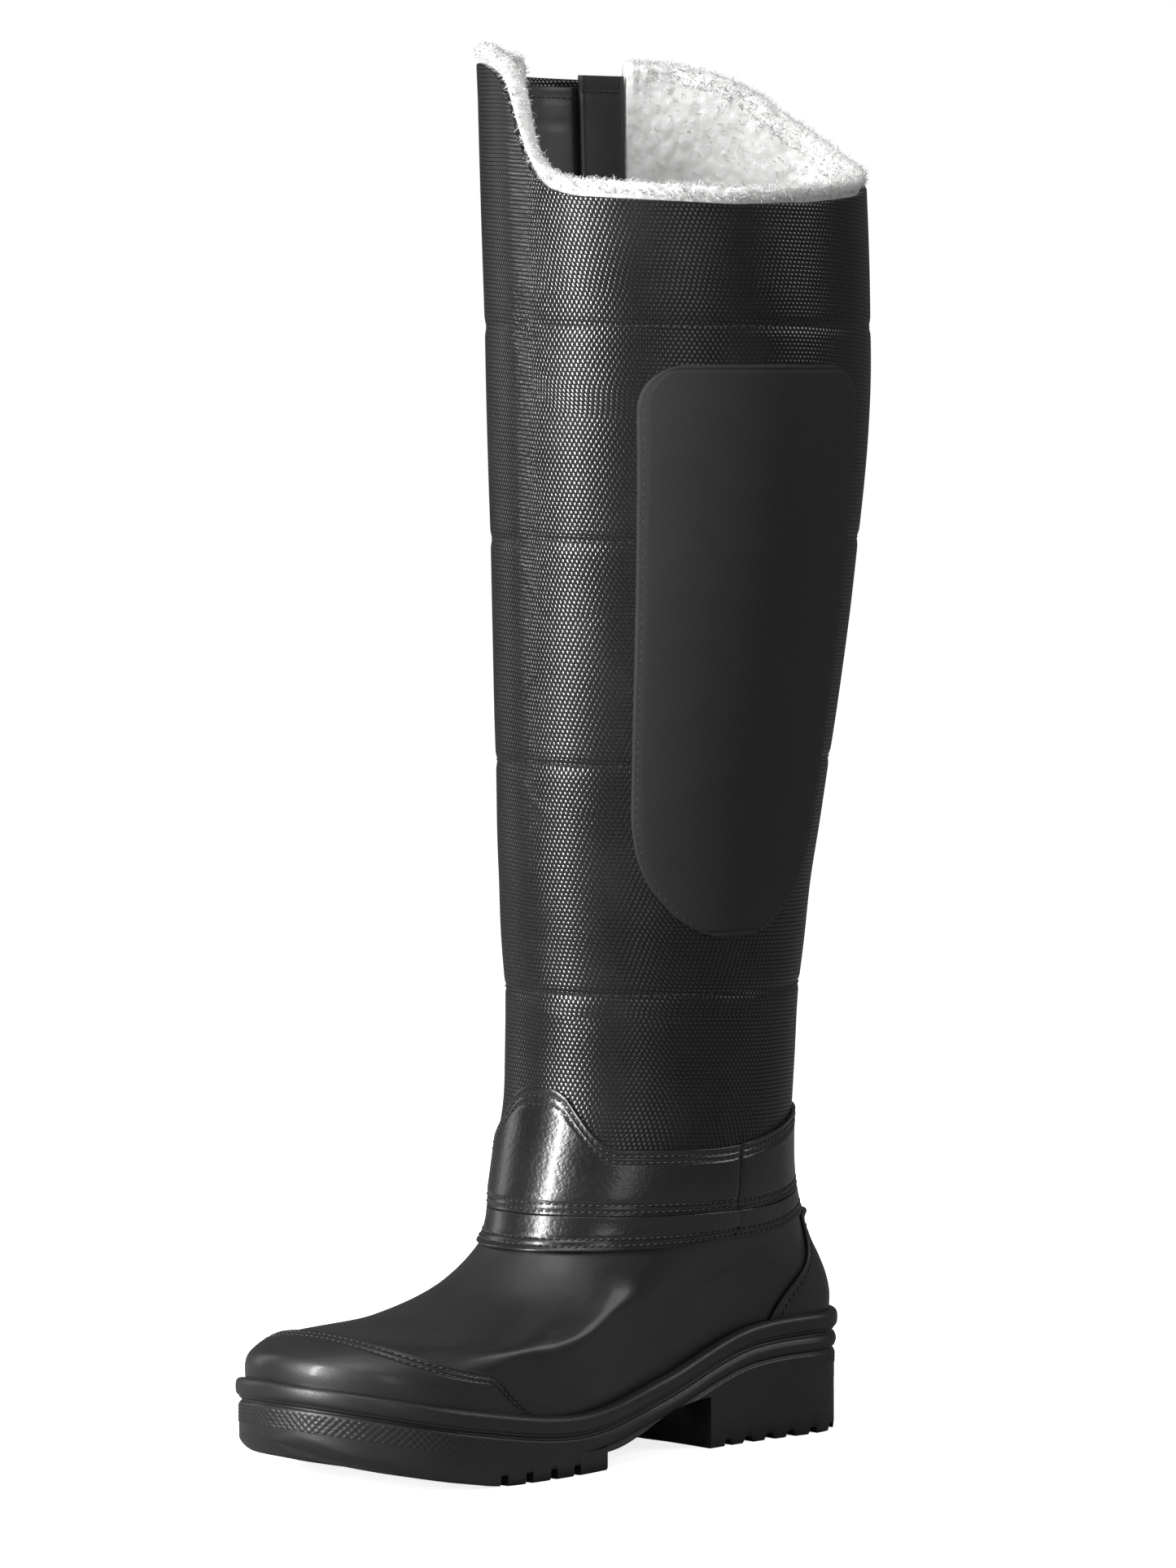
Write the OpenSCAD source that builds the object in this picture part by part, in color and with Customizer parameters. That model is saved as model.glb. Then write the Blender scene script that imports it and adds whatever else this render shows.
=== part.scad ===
// Tall winter riding boot for the right foot.
// +Z is up, the toe points to -Y, the inner (medial) side of the leg is at +X, and the
// origin is on the ground under the shaft.

/* [Height and foot] */
// Height of the shaft at the tall outer side
top_outer = 503; // [496:1:510]
// Height of the shaft at the low inner side
top_inner = 453; // [446:1:460]
// Distance from the shaft line to the tip of the toe cap
toe_reach = 181; // [178:1:184]
// Distance from the shaft line to the back of the heel
heel_reach = 75; // [73:1:77]
// Half width of the foot at the ball on the inner side
ball_inner = 45; // [43:0.5:46]
// Half width of the foot at the ball on the outer side
ball_outer = 47; // [45:0.5:49]

/* [Shaft] */
// How far the calf stands back from the shaft line
calf_back = 88; // [84:1:91]
// Half width of the calf on the inner side
calf_inner = 66; // [63:1:68]
// Half width of the ankle
ankle_half = 45; // [44:0.5:46]
// Thickness of the coated fabric
shell_t = 2; // [1.6:0.1:2.2]
// Depth of the fleece lining
fleece_t = 6; // [5:0.5:7]
// How far the fleece stands above the fabric
fleece_rise = 4; // [3:0.5:5]

/* [Leather] */
// Thickness of the leather
leather_t = 1.4; // [1.2:0.1:1.6]
// Thickness of the foot lining
foot_lining_t = 3.5; // [3:0.5:4]
// Height of the collar peak over the shin
collar_peak = 134; // [130:1:138]
// Height of the collar at the sides
collar_side = 110; // [108:1:114]

/* [Zip] */
// Height of the lower end of the zip
zip_low = 91; // [90:1:94]
// Width of the opening that the teeth lie in
zip_gap = 9; // [8:0.5:10]
// Width of each leather facing beside the zip
facing_w = 11; // [10:0.5:12]
// Width of one row of teeth
coil_w = 2.6; // [2.4:0.1:2.8]
// Thickness of the rows of teeth
coil_t = 2.4; // [2:0.1:2.6]
// Length of the zip pull
pull_l = 21; // [18:1:22]

/* [Sole] */
// How far the rand stands out from the upper
rand_out = 5; // [4:0.5:6]
// Height of the toe above the ground
toe_spring = 17; // [15:1:18]
// Height of the heel
heel_h = 19; // [18:0.5:20]
// Depth of the lugs
lug_h = 5; // [4:0.5:5.5]
// Distance from one lug to the next
lug_pitch = 12; // [11:0.5:13]
// Width of the slots between lugs
lug_gap = 3.4; // [3:0.2:3.8]

/* [Hidden] */
$fn = 48;
slack = 0.3;
// Gap between one layer of the upper and the next.
skin = 0.15;
// Slice number just above the rand, where the toe cap and the counter begin.
rand_top = 0.45;
puff_depth = 1.8;
// Distances from the zip at which the fleece ends, and the side seam of the collar.
lining_front = 42;
lining_rear = 11.5;
seam_v = 0.56;
// Panels round the shaft, and how strongly its rows crowd towards the ankle.
around_n = 50;
low_crowd = 1.4;
// Angles at which the collar begins and ends, at the zip, and a height at the mouth of the shaft.
first_a = -107;
last_a = 253;
mouth_z = 480;
// Zip: gap between the rows of teeth, place and width of the slider, place of its pin.
neck_w = 1.6;
slider_z = 352;
stop_z = 9;
slider_w = 7.8;
tape_y = neck_w / 2 + coil_w + 0.05;
facing_low = 118;
// Leather guard behind the zip: its two edges and its depth under the skin. The inner facing
// runs on from its front edge to the fleece.
guard_rear = 10.5;
guard_front = 6;
guard_depth = 7.2;
inner_facing_depth = 4.9;
pin_x = 1.6;
// Snap tab: height of its middle, its width, its two ends across the zip, its stand-off.
tab_z = 481;
tab_h = 24;
tab_root = 15;
tab_tip = -20;
tab_out = 1.9;
snap_w = -13.5;
cap_foot = tab_out + leather_t + 0.5;
// Sole: points round the outline, ends of the forefoot tread and of the heel, rows of slots.
plan_n = 96;
fore_end = -66;
heel_front = -3;
lug_rows = 8;
heel_slots = 6;

toe_y = -toe_reach;
heel_y = heel_reach;

// The zip runs up the outer side on one straight line, a little behind the middle.
zip_foot = [-44.5, 16, zip_low];
zip_head = [-66, 33, 496];
zip_run = zip_head - zip_foot;
zip_len = norm(zip_run);
zip_tilt_x = -asin(zip_run.y / zip_len);
zip_tilt_y = atan(zip_run.x / zip_run.z);
zip_turn = 165.5;
function zip_y(z) = zip_foot.y + zip_run.y * (z - zip_foot.z) / zip_run.z;
function zip_x(z) = zip_foot.x + zip_run.x * (z - zip_foot.z) / zip_run.z;

// Half width of the shaft on the outer side, so that the zip lies on its surface.
function outer_half(z, front, back) =
    let (across = (front + back - 2 * zip_y(z)) / (back - front))
    -zip_x(z) / sqrt(1 - across * across);
function shaft_row(z, front, back, inner) =
    [front, z, back, z, (back - front) / 2, (back - front) / 2, 2, 1, inner,
        outer_half(z, front, back), 0];

// Slices of the boot from the feather line to the top, numbered from 0. Each holds: front y,
// front z, back y, back z, length of the toe rounding, length of the heel rounding, its power,
// share of the leg oval, inner and outer half width of that oval, share of the feather line's dip.
SLICES = [
    [toe_y, 36, heel_y, 42, 62, 34, 3, 0, 45, 45, 1],
    [toe_y + 2, 47, heel_y + 1, 50, 58, 34, 2.8, 0.02, 45, 45, 0.9],
    [toe_y + 21, 56, heel_y, 57, 58, 36, 2.5, 0.08, 45, 45, 0.7],
    [toe_y + 56, 59, heel_y - 3, 64, 66, 40, 2.3, 0.22, 45, 45, 0.45],
    [-93, 66, heel_y - 7, 71, 70, 46, 2.1, 0.45, 45, 45, 0.25],
    [-71, 80, heel_y - 12, 80, 67, 52, 2, 0.8, 45, 45, 0.1],
    [-65, 96, heel_y - 16, 94, 62, 60, 2, 1, ankle_half, outer_half(95, -65, heel_y - 16), 0],
    [-61, 112, heel_y - 17, 110, 59.5, 59.5, 2, 1, ankle_half, outer_half(111, -61, heel_y - 17), 0],
    shaft_row(130, -57, 59, ankle_half),
    shaft_row(160, -56, 61, ankle_half + 1),
    shaft_row(200, -58, 66, ankle_half + 3),
    shaft_row(250, -60, 75, calf_inner - 13),
    shaft_row(310, -61, calf_back - 5, calf_inner - 6),
    shaft_row(370, -62, calf_back, calf_inner),
    shaft_row(420, -62, calf_back, calf_inner + 1),
    shaft_row(515, -61, calf_back - 5, calf_inner - 1)];
last = len(SLICES) - 1;

// Plan of the foot from toe to heel: half widths and the height of the feather line.
plan_y = [toe_y, -130, -80, -30, 20, heel_y];
plan_inner = [42, ball_inner, 44, 34, 30, 33];
plan_outer = [42, ball_outer, 47, 41, 34, 33];
feather_z = [36, 25, 19, 26, 40, 42];

// A smooth curve through equally numbered values.
function curve(t, v) =
    let (n = len(v), i = max(0, min(n - 2, floor(t))), f = max(0, min(1, t - i)),
        b = v[i], c = v[i + 1], a = i > 0 ? v[i - 1] : 2 * b - c,
        d = i < n - 2 ? v[i + 2] : 2 * c - b)
    0.5 * (2 * b + (c - a) * f + (2 * a - 5 * b + 4 * c - d) * f * f
        + (3 * b - a - 3 * c + d) * f * f * f);
function plan_step(y) = lookup(y, [for (i = [0:len(plan_y) - 1]) [plan_y[i], i]]);
function dip(y) = curve(plan_step(y), feather_z)
    - feather_z[0] - (feather_z[5] - feather_z[0]) * (y - toe_y) / (heel_y - toe_y);
function rounding(s, power) = sqrt(max(0, 1 - pow(1 - max(0, min(1, s)), power)));

// Point on the outside of the boot: t counts slices, a is the angle from the toe round the
// inner side (90), the heel (180) and the outer side (270).
function boot_point(t, a) =
    let (r = curve(t, SLICES), half = (r[2] - r[0]) / 2, y = r[0] + half * (1 - cos(a)),
        inner = sin(a) >= 0,
        foot = curve(plan_step(y), inner ? plan_inner : plan_outer),
        leg = inner ? r[8] : r[9],
        wide = ((1 - r[7]) * foot + r[7] * leg)
            * rounding((y - r[0]) / r[4], r[6]) * rounding((r[2] - y) / r[5], r[6]),
        s = (y - r[0]) / (2 * half))
    [(inner ? 1 : -1) * wide, y, r[1] * (1 - s) + r[3] * s + r[10] * dip(y)];
function unit(v) = v / norm(v);
// The same point, moved inwards by depth.
function inside(t, a, depth) =
    let (lo = max(0, t - 0.05), hi = min(last, t + 0.05),
        out = cross(boot_point(t, a + 2) - boot_point(t, a - 2), boot_point(hi, a) - boot_point(lo, a)))
    boot_point(t, a) - depth * unit(out);

// Slice number at a height of the shaft.
function slice_at(z) = lookup(z, [for (i = [4:last]) [SLICES[i][3], i]]);
// Angle at which the shaft crosses the line that lies w behind the zip.
function angle_at(z, w) =
    let (r = curve(slice_at(z), SLICES), half = (r[2] - r[0]) / 2)
    360 - acos(max(-1, min(1, (r[0] + half - zip_y(z) - w) / half)));

function ease(f) = let (g = max(0, min(1, f))) g * g * (3 - 2 * g);
function blend(a, b, f) = a + (b - a) * f;
// Top edge: angle from the toe against share of the way from its low to its high side. It drops
// steeply over the shin and climbs slowly from the inner side round the back.
RIM = [[-107, 0.93], [-80, 0.94], [-50, 1], [-30, 1], [-20, 0.95], [-13, 0.88], [-9, 0.73], [-4, 0.44],
    [0, 0.25], [6, 0.14], [16, 0.08], [40, 0.05], [65, 0.02], [90, 0.04], [120, 0.1], [140, 0.17],
    [157, 0.25], [170, 0.35], [180, 0.46], [189, 0.56], [200, 0.72], [209, 0.82], [218, 0.88],
    [230, 0.94], [242, 0.94], [253, 0.93]];
function top_z(a) = top_inner + (top_outer - top_inner)
    * (lookup(a - 3, RIM) + 2 * lookup(a, RIM) + lookup(a + 3, RIM)) / 4;
// Height of the upper edge of the collar.
function collar_z(a) =
    let (c = abs(a > 180 ? a - 360 : a))
    collar_side + (collar_peak - collar_side) * (1 - ease((c - 6) / 38))
        + 13 * ease((c - 80) / 80);
// Slice numbers of the two seams that bound the ankle band.
function band_top(a) = 5.55 + 0.3 * ease((abs(180 - a) < 80 ? 80 - abs(180 - a) : 0) / 60);
function band_foot(a) = 4.85 + 0.35 * ease((abs(180 - a) < 80 ? 80 - abs(180 - a) : 0) / 50);

// A closed sheet between two depths. at(u, v) gives slice number and angle for u and v
// from 0 to 1; a round sheet joins its v ends.
module sheet(at, nu, nv, outer, inner, round = false) {
    w = round ? nv : nv + 1;
    grid = [for (depth = [outer, inner]) for (i = [0:nu]) for (j = [0:w - 1])
        let (p = at(i / nu, j / nv)) inside(p[0], p[1], depth)];
    n = (nu + 1) * w;
    function id(k, i, j) = k * n + i * w + j % w;
    faces = [
        for (i = [0:nu - 1]) for (j = [0:nv - 1]) each [
            [id(0, i, j), id(0, i + 1, j), id(0, i + 1, j + 1)],
            [id(0, i, j), id(0, i + 1, j + 1), id(0, i, j + 1)],
            [id(1, i, j), id(1, i + 1, j + 1), id(1, i + 1, j)],
            [id(1, i, j), id(1, i, j + 1), id(1, i + 1, j + 1)]],
        for (j = [0:nv - 1]) each [
            [id(0, 0, j), id(0, 0, j + 1), id(1, 0, j + 1)],
            [id(0, 0, j), id(1, 0, j + 1), id(1, 0, j)],
            [id(0, nu, j), id(1, nu, j + 1), id(0, nu, j + 1)],
            [id(0, nu, j), id(1, nu, j), id(1, nu, j + 1)]],
        if (!round) for (i = [0:nu - 1]) each [
            [id(0, i, 0), id(1, i, 0), id(1, i + 1, 0)],
            [id(0, i, 0), id(1, i + 1, 0), id(0, i + 1, 0)],
            [id(0, i, nv), id(1, i + 1, nv), id(1, i, nv)],
            [id(0, i, nv), id(0, i + 1, nv), id(1, i + 1, nv)]]];
    polyhedron(grid, faces);
}
// Angle on a sheet that is open along the zip: v runs from its front edge round the toe, the
// inner side and the heel to its rear edge. The edges lie front and rear away from the zip.
function open_angle(z, v, front, rear) = blend(angle_at(z, -front) - 360, angle_at(z, rear), v);

module shaft_shell()
    color("#28282a")
        sheet(function(u, v)
            let (a = open_angle(mouth_z, v, zip_gap / 2, zip_gap / 2),
                z = blend(zip_low - 1, top_z(a), pow(u, low_crowd)))
            [slice_at(z), open_angle(z, v, zip_gap / 2, zip_gap / 2)], 19, around_n, 0, shell_t);

module shaft_lining()
    color("#ecebe6")
        sheet(function(u, v)
            let (a = open_angle(mouth_z, v, lining_front, lining_rear),
                z = blend(zip_low + 1, top_z(a) + fleece_rise, pow(u, low_crowd)))
            [slice_at(z), open_angle(z, v, lining_front, lining_rear)], 15, 40, shell_t + 2 * slack,
            shell_t + 2 * slack + fleece_t);

module foot_lining()
    color("#dddcd6")
        sheet(function(u, v) [blend(0.4, 5.4, u), 360 * v], 10, 36, puff_depth + 1.3,
            puff_depth + 1.3 + foot_lining_t, round = true);

module grip_patch()
    color("#2b2b2c")
        sheet(function(u, v)
            let (z = blend(188, 396, u), end = min(u, 1 - u) * 208,
                r = u < 0.5 ? 52 : 24, narrow = 1 - sqrt(max(0, 1 - pow(1 - min(1, (end + 0.6) / r), 2))),
                front = blend(42, 37, u), back = blend(125, 115, u), mid = (front + back) / 2,
                half = (back - front) / 2 * (1 - (u < 0.5 ? 0.75 : 0.45) * narrow))
            [slice_at(z), mid + (2 * v - 1) * half], 20, 10, -slack - 1.2, -slack);

module collar(from_v, to_v, steps)
    sheet(function(u, v)
        let (w = blend(from_v, to_v, v), a = blend(first_a, last_a, w), edge = collar_z(a),
            t = blend(band_top(a) + 0.03, slice_at(edge), u))
        [t, open_angle(blend(zip_low, edge, u), w, zip_gap / 2, zip_gap / 2)],
        7, steps, -slack - leather_t, -slack);
module collar_front() color("#1b1b1c") collar(0, seam_v, round(around_n * seam_v));
module collar_rear() color("#1d1d1e") collar(seam_v, 1, round(around_n * (1 - seam_v)));

module ankle_band()
    color("#1b1b1c")
        sheet(function(u, v) [blend(band_foot(360 * v), band_top(360 * v), u), 360 * v],
            3, 56, -skin - leather_t, -skin, round = true);

module vamp()
    color("#1a1a1b")
        sheet(function(u, v) [blend(0, 5.5, u), 360 * v], 17, 56, 0, leather_t, round = true);

// Slice of the toe cap seam at an angle, the heel counter seam, and their reach.
function toe_seam(a) = blend(2, 1.15, ease(abs(a) / 50)) - 1.1 * pow(ease((abs(a) - 50) / 26), 0.8);
module toe_cap()
    color("#191919")
        sheet(function(u, v) let (a = blend(-62, 62, v)) [blend(rand_top, toe_seam(a), u), a],
            8, 34, -skin - leather_t, -skin);

function counter_half(u) = blend(50, 42, u) - 11 * pow(u, 4);
module heel_counter()
    color("#191919")
        sheet(function(u, v) [blend(rand_top, 4.75, u), 180 + counter_half(u) * (2 * v - 1)],
            12, 24, -skin - leather_t, -skin);

module back_strip()
    color("#1c1c1d")
        sheet(function(u, v) let (z = blend(99, 440, u))
            [slice_at(z), 180 + blend(9, 5.5, u) * (2 * v - 1)],
            14, 3, -2 * skin - 2 * leather_t - 0.1, -2 * skin - leather_t - 0.1);

module spur_rest()
    color("#161616")
        sheet(function(u, v) [blend(4.78, 5.12, u), 180 + 30 * (2 * v - 1)],
            3, 20, -skin - leather_t - 3.2, -2 * skin - leather_t);

module toe_puff()
    color("#8c7a5c")
        sheet(function(u, v) let (a = blend(-48, 48, v)) [blend(0.5, 1.7, u), a],
            5, 20, leather_t + slack, puff_depth + 1);

module heel_stiffener()
    color("#8c7a5c")
        sheet(function(u, v) [blend(0.5, 4.2, u), 180 + blend(44, 26, u) * (2 * v - 1)],
            7, 16, leather_t + slack, puff_depth + 1);

// Frame of the zip: z up along it, x out of the boot, y towards the toe.
module on_zip() translate(zip_foot) rotate([zip_tilt_x, zip_tilt_y, 0]) rotate([0, 0, zip_turn]) children();
module block(x0, x1, y0, y1, z0, z1) translate([x0, y0, z0]) cube([x1 - x0, y1 - y0, z1 - z0]);

module zip_tape(side)
    on_zip() mirror([0, side, 0]) block(-4.3, -3.5, tape_y, 9, 0, zip_len - 1);
module zip_tape_front() color("#111112") zip_tape(0);
module zip_tape_rear() color("#111112") zip_tape(1);

module zip_teeth(side)
    on_zip() mirror([0, side, 0])
        block(-3.5 - coil_t / 2, -3.5 + coil_t / 2, neck_w / 2, neck_w / 2 + coil_w,
            stop_z + 3.5, slider_z + 10);
module zip_teeth_front() color("#2a2a2c") zip_teeth(0);
module zip_teeth_rear() color("#2a2a2c") zip_teeth(1);

module zip_slider()
    color("#8d8f92") on_zip() translate([0, 0, slider_z]) {
        block(-2, -0.8, -slider_w / 2, slider_w / 2, -7, 7);
        block(-6.2, -5, -slider_w / 2, slider_w / 2, -7, 7);
        block(-5, -2, -0.5, 0.5, 1, 6);
        for (s = [0, 1]) mirror([0, s, 0]) block(-0.8, pin_x + 1.2, 2.2, 3.2, 0.8, 3.2);
        translate([pin_x, -3.2, 2]) rotate([-90, 0, 0]) cylinder(h = 6.4, d = 1.6);
    }
module zip_pull()
    color("#77797c") on_zip() translate([pin_x, 0, slider_z + 2]) {
        difference() {
            union() {
                rotate([90, 0, 0]) cylinder(h = 3.8, d = 4.2, center = true);
                block(-0.8, 0.8, -1.9, 1.9, -4.5, -1.6);
            }
            rotate([90, 0, 0]) cylinder(h = 5, d = 2.2, center = true);
        }
        difference() {
            block(-0.8, 0.8, -3.7, 3.7, -pull_l, -4.4);
            translate([0, 0, -pull_l + 5]) rotate([0, 90, 0]) cylinder(h = 4, d = 3.6, center = true);
        }
    }

module zip_top_stops()
    color("#8d8f92") on_zip() for (s = [0, 1]) mirror([0, s, 0])
        block(-4.8, -2.2, neck_w / 2, neck_w / 2 + coil_w, slider_z + 10.3, slider_z + 13.3);
module zip_bottom_stop()
    color("#8d8f92") on_zip() block(-4.8, -2.2, -3.4, 3.4, stop_z, stop_z + 3.2);

module zip_facing(side)
    sheet(function(u, v)
        let (z = blend(facing_low, top_z(last_a) - 0.5, u), w = side * (zip_gap / 2 + facing_w * v))
        [slice_at(z), angle_at(z, w)], 18, 3,
        side > 0 ? -skin : -skin - leather_t, side > 0 ? -skin - leather_t : -skin);
module zip_facing_front() color("#1c1c1d") zip_facing(-1);
module zip_facing_rear() color("#1c1c1d") zip_facing(1);

module zip_guard()
    color("#141415")
        sheet(function(u, v) let (z = blend(zip_low + 3, top_z(last_a) + 1, u))
            [slice_at(z), angle_at(z, blend(guard_rear, -guard_front, v))],
            14, 4, guard_depth, guard_depth + leather_t);
module inner_facing()
    color("#141415")
        sheet(function(u, v) let (z = blend(zip_low + 3, top_z(last_a) - 3, u))
            [slice_at(z), angle_at(z, blend(-guard_front - 1, 1 - lining_front, v))],
            14, 6, inner_facing_depth, inner_facing_depth + leather_t);

// Snap tab across the head of the zip, hinged at its rear edge, with its snap near the free end.
function tab_point(w, depth) = inside(slice_at(tab_z), angle_at(tab_z, w), depth);
snap_dir = tab_point(snap_w, -1) - tab_point(snap_w, 0);
module at_snap() translate(tab_point(snap_w, 0)) rotate([0, 0, atan2(snap_dir.y, snap_dir.x)])
    rotate([0, 90, 0]) children();
module snap_tab()
    color("#1c1c1d") difference() {
        sheet(function(u, v)
            let (w = blend(tab_root, tab_tip, v), narrow = 1 - 1.75 * max(0, v - 0.8),
                z = tab_z + tab_h * (u - 0.5) * narrow)
            [slice_at(z), angle_at(z, w)], 4, 16, -tab_out - leather_t, -tab_out);
        at_snap() cylinder(h = 12, d = 7.2, center = true);
    }
module snap_cap()
    color("#3a3b3d") at_snap() difference() {
        union() {
            translate([0, 0, cap_foot]) cylinder(h = 1.6, d = 12);
            translate([0, 0, cap_foot]) cylinder(h = 2.3, d = 8.5);
        }
        cylinder(h = cap_foot + 0.65, d = 6);
    }
module snap_stud()
    color("#3a3b3d") at_snap() {
        translate([0, 0, skin + leather_t + 0.2]) cylinder(h = 0.5, d = 6.4);
        translate([0, 0, skin + leather_t + 0.2]) cylinder(h = 1.9, d = 4.4);
    }

// Plan outline of the foot, moved outwards by off, and heights along it.
function outward(a) = let (d = boot_point(0, a + 2) - boot_point(0, a - 2)) [d.y, -d.x] / norm([d.x, d.y]);
function plan_at(a, off) = let (p = boot_point(0, a)) [p.x, p.y] + off * outward(a);
module plan(off) polygon([for (i = [0:plan_n - 1]) plan_at(360 * i / plan_n, off)]);
function feather(y) = let (c = max(toe_y, min(heel_y, y))) curve(plan_step(c), feather_z);
module side_profile(points) rotate([90, 0, 90]) translate([0, 0, -80]) linear_extrude(160) polygon(points);
module slab(off, low, high) intersection() {
    linear_extrude(90) plan(off);
    side_profile(concat(low, [for (i = [len(high) - 1:-1:0]) high[i]]));
}
function steps(y0, y1, n) = [for (i = [0:n]) blend(y0, y1, i / n)];
reach0 = toe_y - 8;
reach1 = heel_y + 8;

module rand() {
    section = [[0.3, 2.6], [2.6, 2.9], [rand_out - 0.6, 1.8], [rand_out, 0.2], [rand_out - 0.2, -2.6],
        [rand_out - 1.4, -3.7], [0.3, -3.7]];
    m = len(section);
    grid = [for (i = [0:plan_n - 1]) let (a = 360 * i / plan_n, z = boot_point(0, a).z)
        for (s = section) let (p = plan_at(a, s[0])) [p.x, p.y, z + s[1]]];
    color("#1f1f20") polyhedron(grid, [for (i = [0:plan_n - 1]) for (j = [0:m - 1])
        let (i2 = (i + 1) % plan_n, j2 = (j + 1) % m) each [
            [i * m + j, i * m + j2, i2 * m + j2], [i * m + j, i2 * m + j2, i2 * m + j]]]);
}

// Underside of the forefoot: flat at the ball and rising to the toe.
function ground(y) = toe_spring * pow(max(0, (-112 - y) / 74), 1.7);
function waist(y) = blend(6.5, heel_h, ease((y - fore_end) / (heel_front - fore_end)));
function belly(y) = y < fore_end ? ground(y) + lug_h + 1.5 : y < heel_front ? waist(y) : heel_h;

module midsole()
    color("#202021") difference() {
        union() {
            slab(rand_out - 1.2, [for (y = steps(reach0, reach1, 40)) [y, belly(y)]],
                [for (y = steps(reach0, reach1, 40)) [y, feather(y) - 4.6]]);
            slab(-0.3, [for (y = steps(reach0, reach1, 40)) [y, feather(y) - 4.7]],
                [for (y = steps(reach0, reach1, 40)) [y, feather(y) - 0.25]]);
        }
        shank_bar(0.3);
    }
module shank_bar(grow) {
    y0 = -66 - grow;
    y1 = 34 + grow;
    intersection() {
        side_profile(concat([for (y = steps(y0, y1, 12)) [y, feather(y) - 2.4 - grow]],
            [for (y = steps(y1, y0, 12)) [y, feather(y) - 0.7 + 3 * grow]]));
        translate([-8 - grow, -100, 0]) cube([16 + 2 * grow, 200, 80]);
    }
}
module shank() color("#a9abae") shank_bar(0);

module outsole()
    color("#19191a") difference() {
        slab(rand_out - 1, [for (y = steps(reach0, fore_end, 24)) [y, ground(y)]],
            [for (y = steps(reach0, fore_end, 24)) [y, ground(y) + lug_h + 1.4]]);
        for (i = [0:lug_rows - 1]) let (y = fore_end - 17 - i * lug_pitch)
            translate([-80, y - lug_gap / 2, ground(y) - 3]) cube([160, lug_gap, lug_h + 1.5]);
        translate([-3, reach0 + 22, -5]) cube([6, fore_end - reach0 - 30, 5 + lug_h - 2.5]);
    }
module heel_block()
    color("#19191a") difference() {
        slab(rand_out - 1, [[heel_front, 0], [reach1 - 10, 0], [reach1, 2.5]],
            [[heel_front - 0.8, heel_h - 0.1], [reach1, heel_h - 0.1]]);
        for (i = [0:heel_slots - 1]) let (y = heel_front + 10 + i * (lug_pitch - 1))
            translate([-80, y - lug_gap / 2 + 0.5, -1]) cube([160, lug_gap - 1, 3.5]);
    }

module insole_board()
    color("#b89a6a") slab(-leather_t - 1, [for (y = steps(reach0, reach1, 40)) [y, feather(y) + 0.1]],
        [for (y = steps(reach0, reach1, 40)) [y, feather(y) + 2.3]]);
module footbed()
    color("#5a5a5c") slab(-puff_depth - foot_lining_t - 3.5,
        [for (y = steps(reach0, reach1, 40)) [y, feather(y) + 2.5]],
        [for (y = steps(reach0, reach1, 40)) [y, feather(y) + 6.5]]);

shaft_shell();
shaft_lining();
foot_lining();
grip_patch();
collar_front();
collar_rear();
ankle_band();
vamp();
toe_cap();
heel_counter();
back_strip();
spur_rest();
toe_puff();
heel_stiffener();
zip_tape_front();
zip_tape_rear();
zip_teeth_front();
zip_teeth_rear();
zip_slider();
zip_pull();
zip_top_stops();
zip_bottom_stop();
zip_facing_front();
zip_facing_rear();
zip_guard();
inner_facing();
snap_tab();
snap_cap();
snap_stud();
rand();
midsole();
outsole();
heel_block();
insole_board();
shank();
footbed();
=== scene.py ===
"""Tall winter riding boot, right foot. Metres, +Z up, toe to -Y, inner side of the leg at +X."""

import math

import bmesh
import bpy
import numpy as np
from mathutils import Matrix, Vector


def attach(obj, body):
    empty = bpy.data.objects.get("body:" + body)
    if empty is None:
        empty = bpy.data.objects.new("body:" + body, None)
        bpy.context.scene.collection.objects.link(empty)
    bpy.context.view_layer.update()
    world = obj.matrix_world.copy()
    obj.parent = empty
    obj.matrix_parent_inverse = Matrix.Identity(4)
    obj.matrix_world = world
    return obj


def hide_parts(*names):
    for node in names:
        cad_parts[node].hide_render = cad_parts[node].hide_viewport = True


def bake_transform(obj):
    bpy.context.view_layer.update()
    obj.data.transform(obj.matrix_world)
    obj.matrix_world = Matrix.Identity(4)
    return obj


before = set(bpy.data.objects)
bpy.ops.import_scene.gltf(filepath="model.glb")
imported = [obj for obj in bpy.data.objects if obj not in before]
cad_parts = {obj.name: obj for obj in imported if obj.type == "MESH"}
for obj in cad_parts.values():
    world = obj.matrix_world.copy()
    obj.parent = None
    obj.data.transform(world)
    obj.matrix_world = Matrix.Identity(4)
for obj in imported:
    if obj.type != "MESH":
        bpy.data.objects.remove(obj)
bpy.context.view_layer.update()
scene = bpy.context.scene

# Studio. A plain pale floor under a soft overhead light, a strip light that draws the long
# highlight down the shin, and a camera with a long lens a little above mid height.
world = bpy.data.worlds.new("studio_air")
world.use_nodes = True
backdrop = world.node_tree.nodes["Background"]
backdrop.inputs["Color"].default_value = (1.0, 1.0, 1.0, 1.0)
seen = world.node_tree.nodes.new("ShaderNodeLightPath").outputs["Is Camera Ray"]
air = world.node_tree.nodes.new("ShaderNodeMapRange")
air.inputs["To Min"].default_value = 0.11
air.inputs["To Max"].default_value = 1.0
world.node_tree.links.new(seen, air.inputs["Value"])
world.node_tree.links.new(air.outputs["Result"], backdrop.inputs["Strength"])
scene.world = world
scene.view_settings.view_transform = "Standard"


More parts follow.
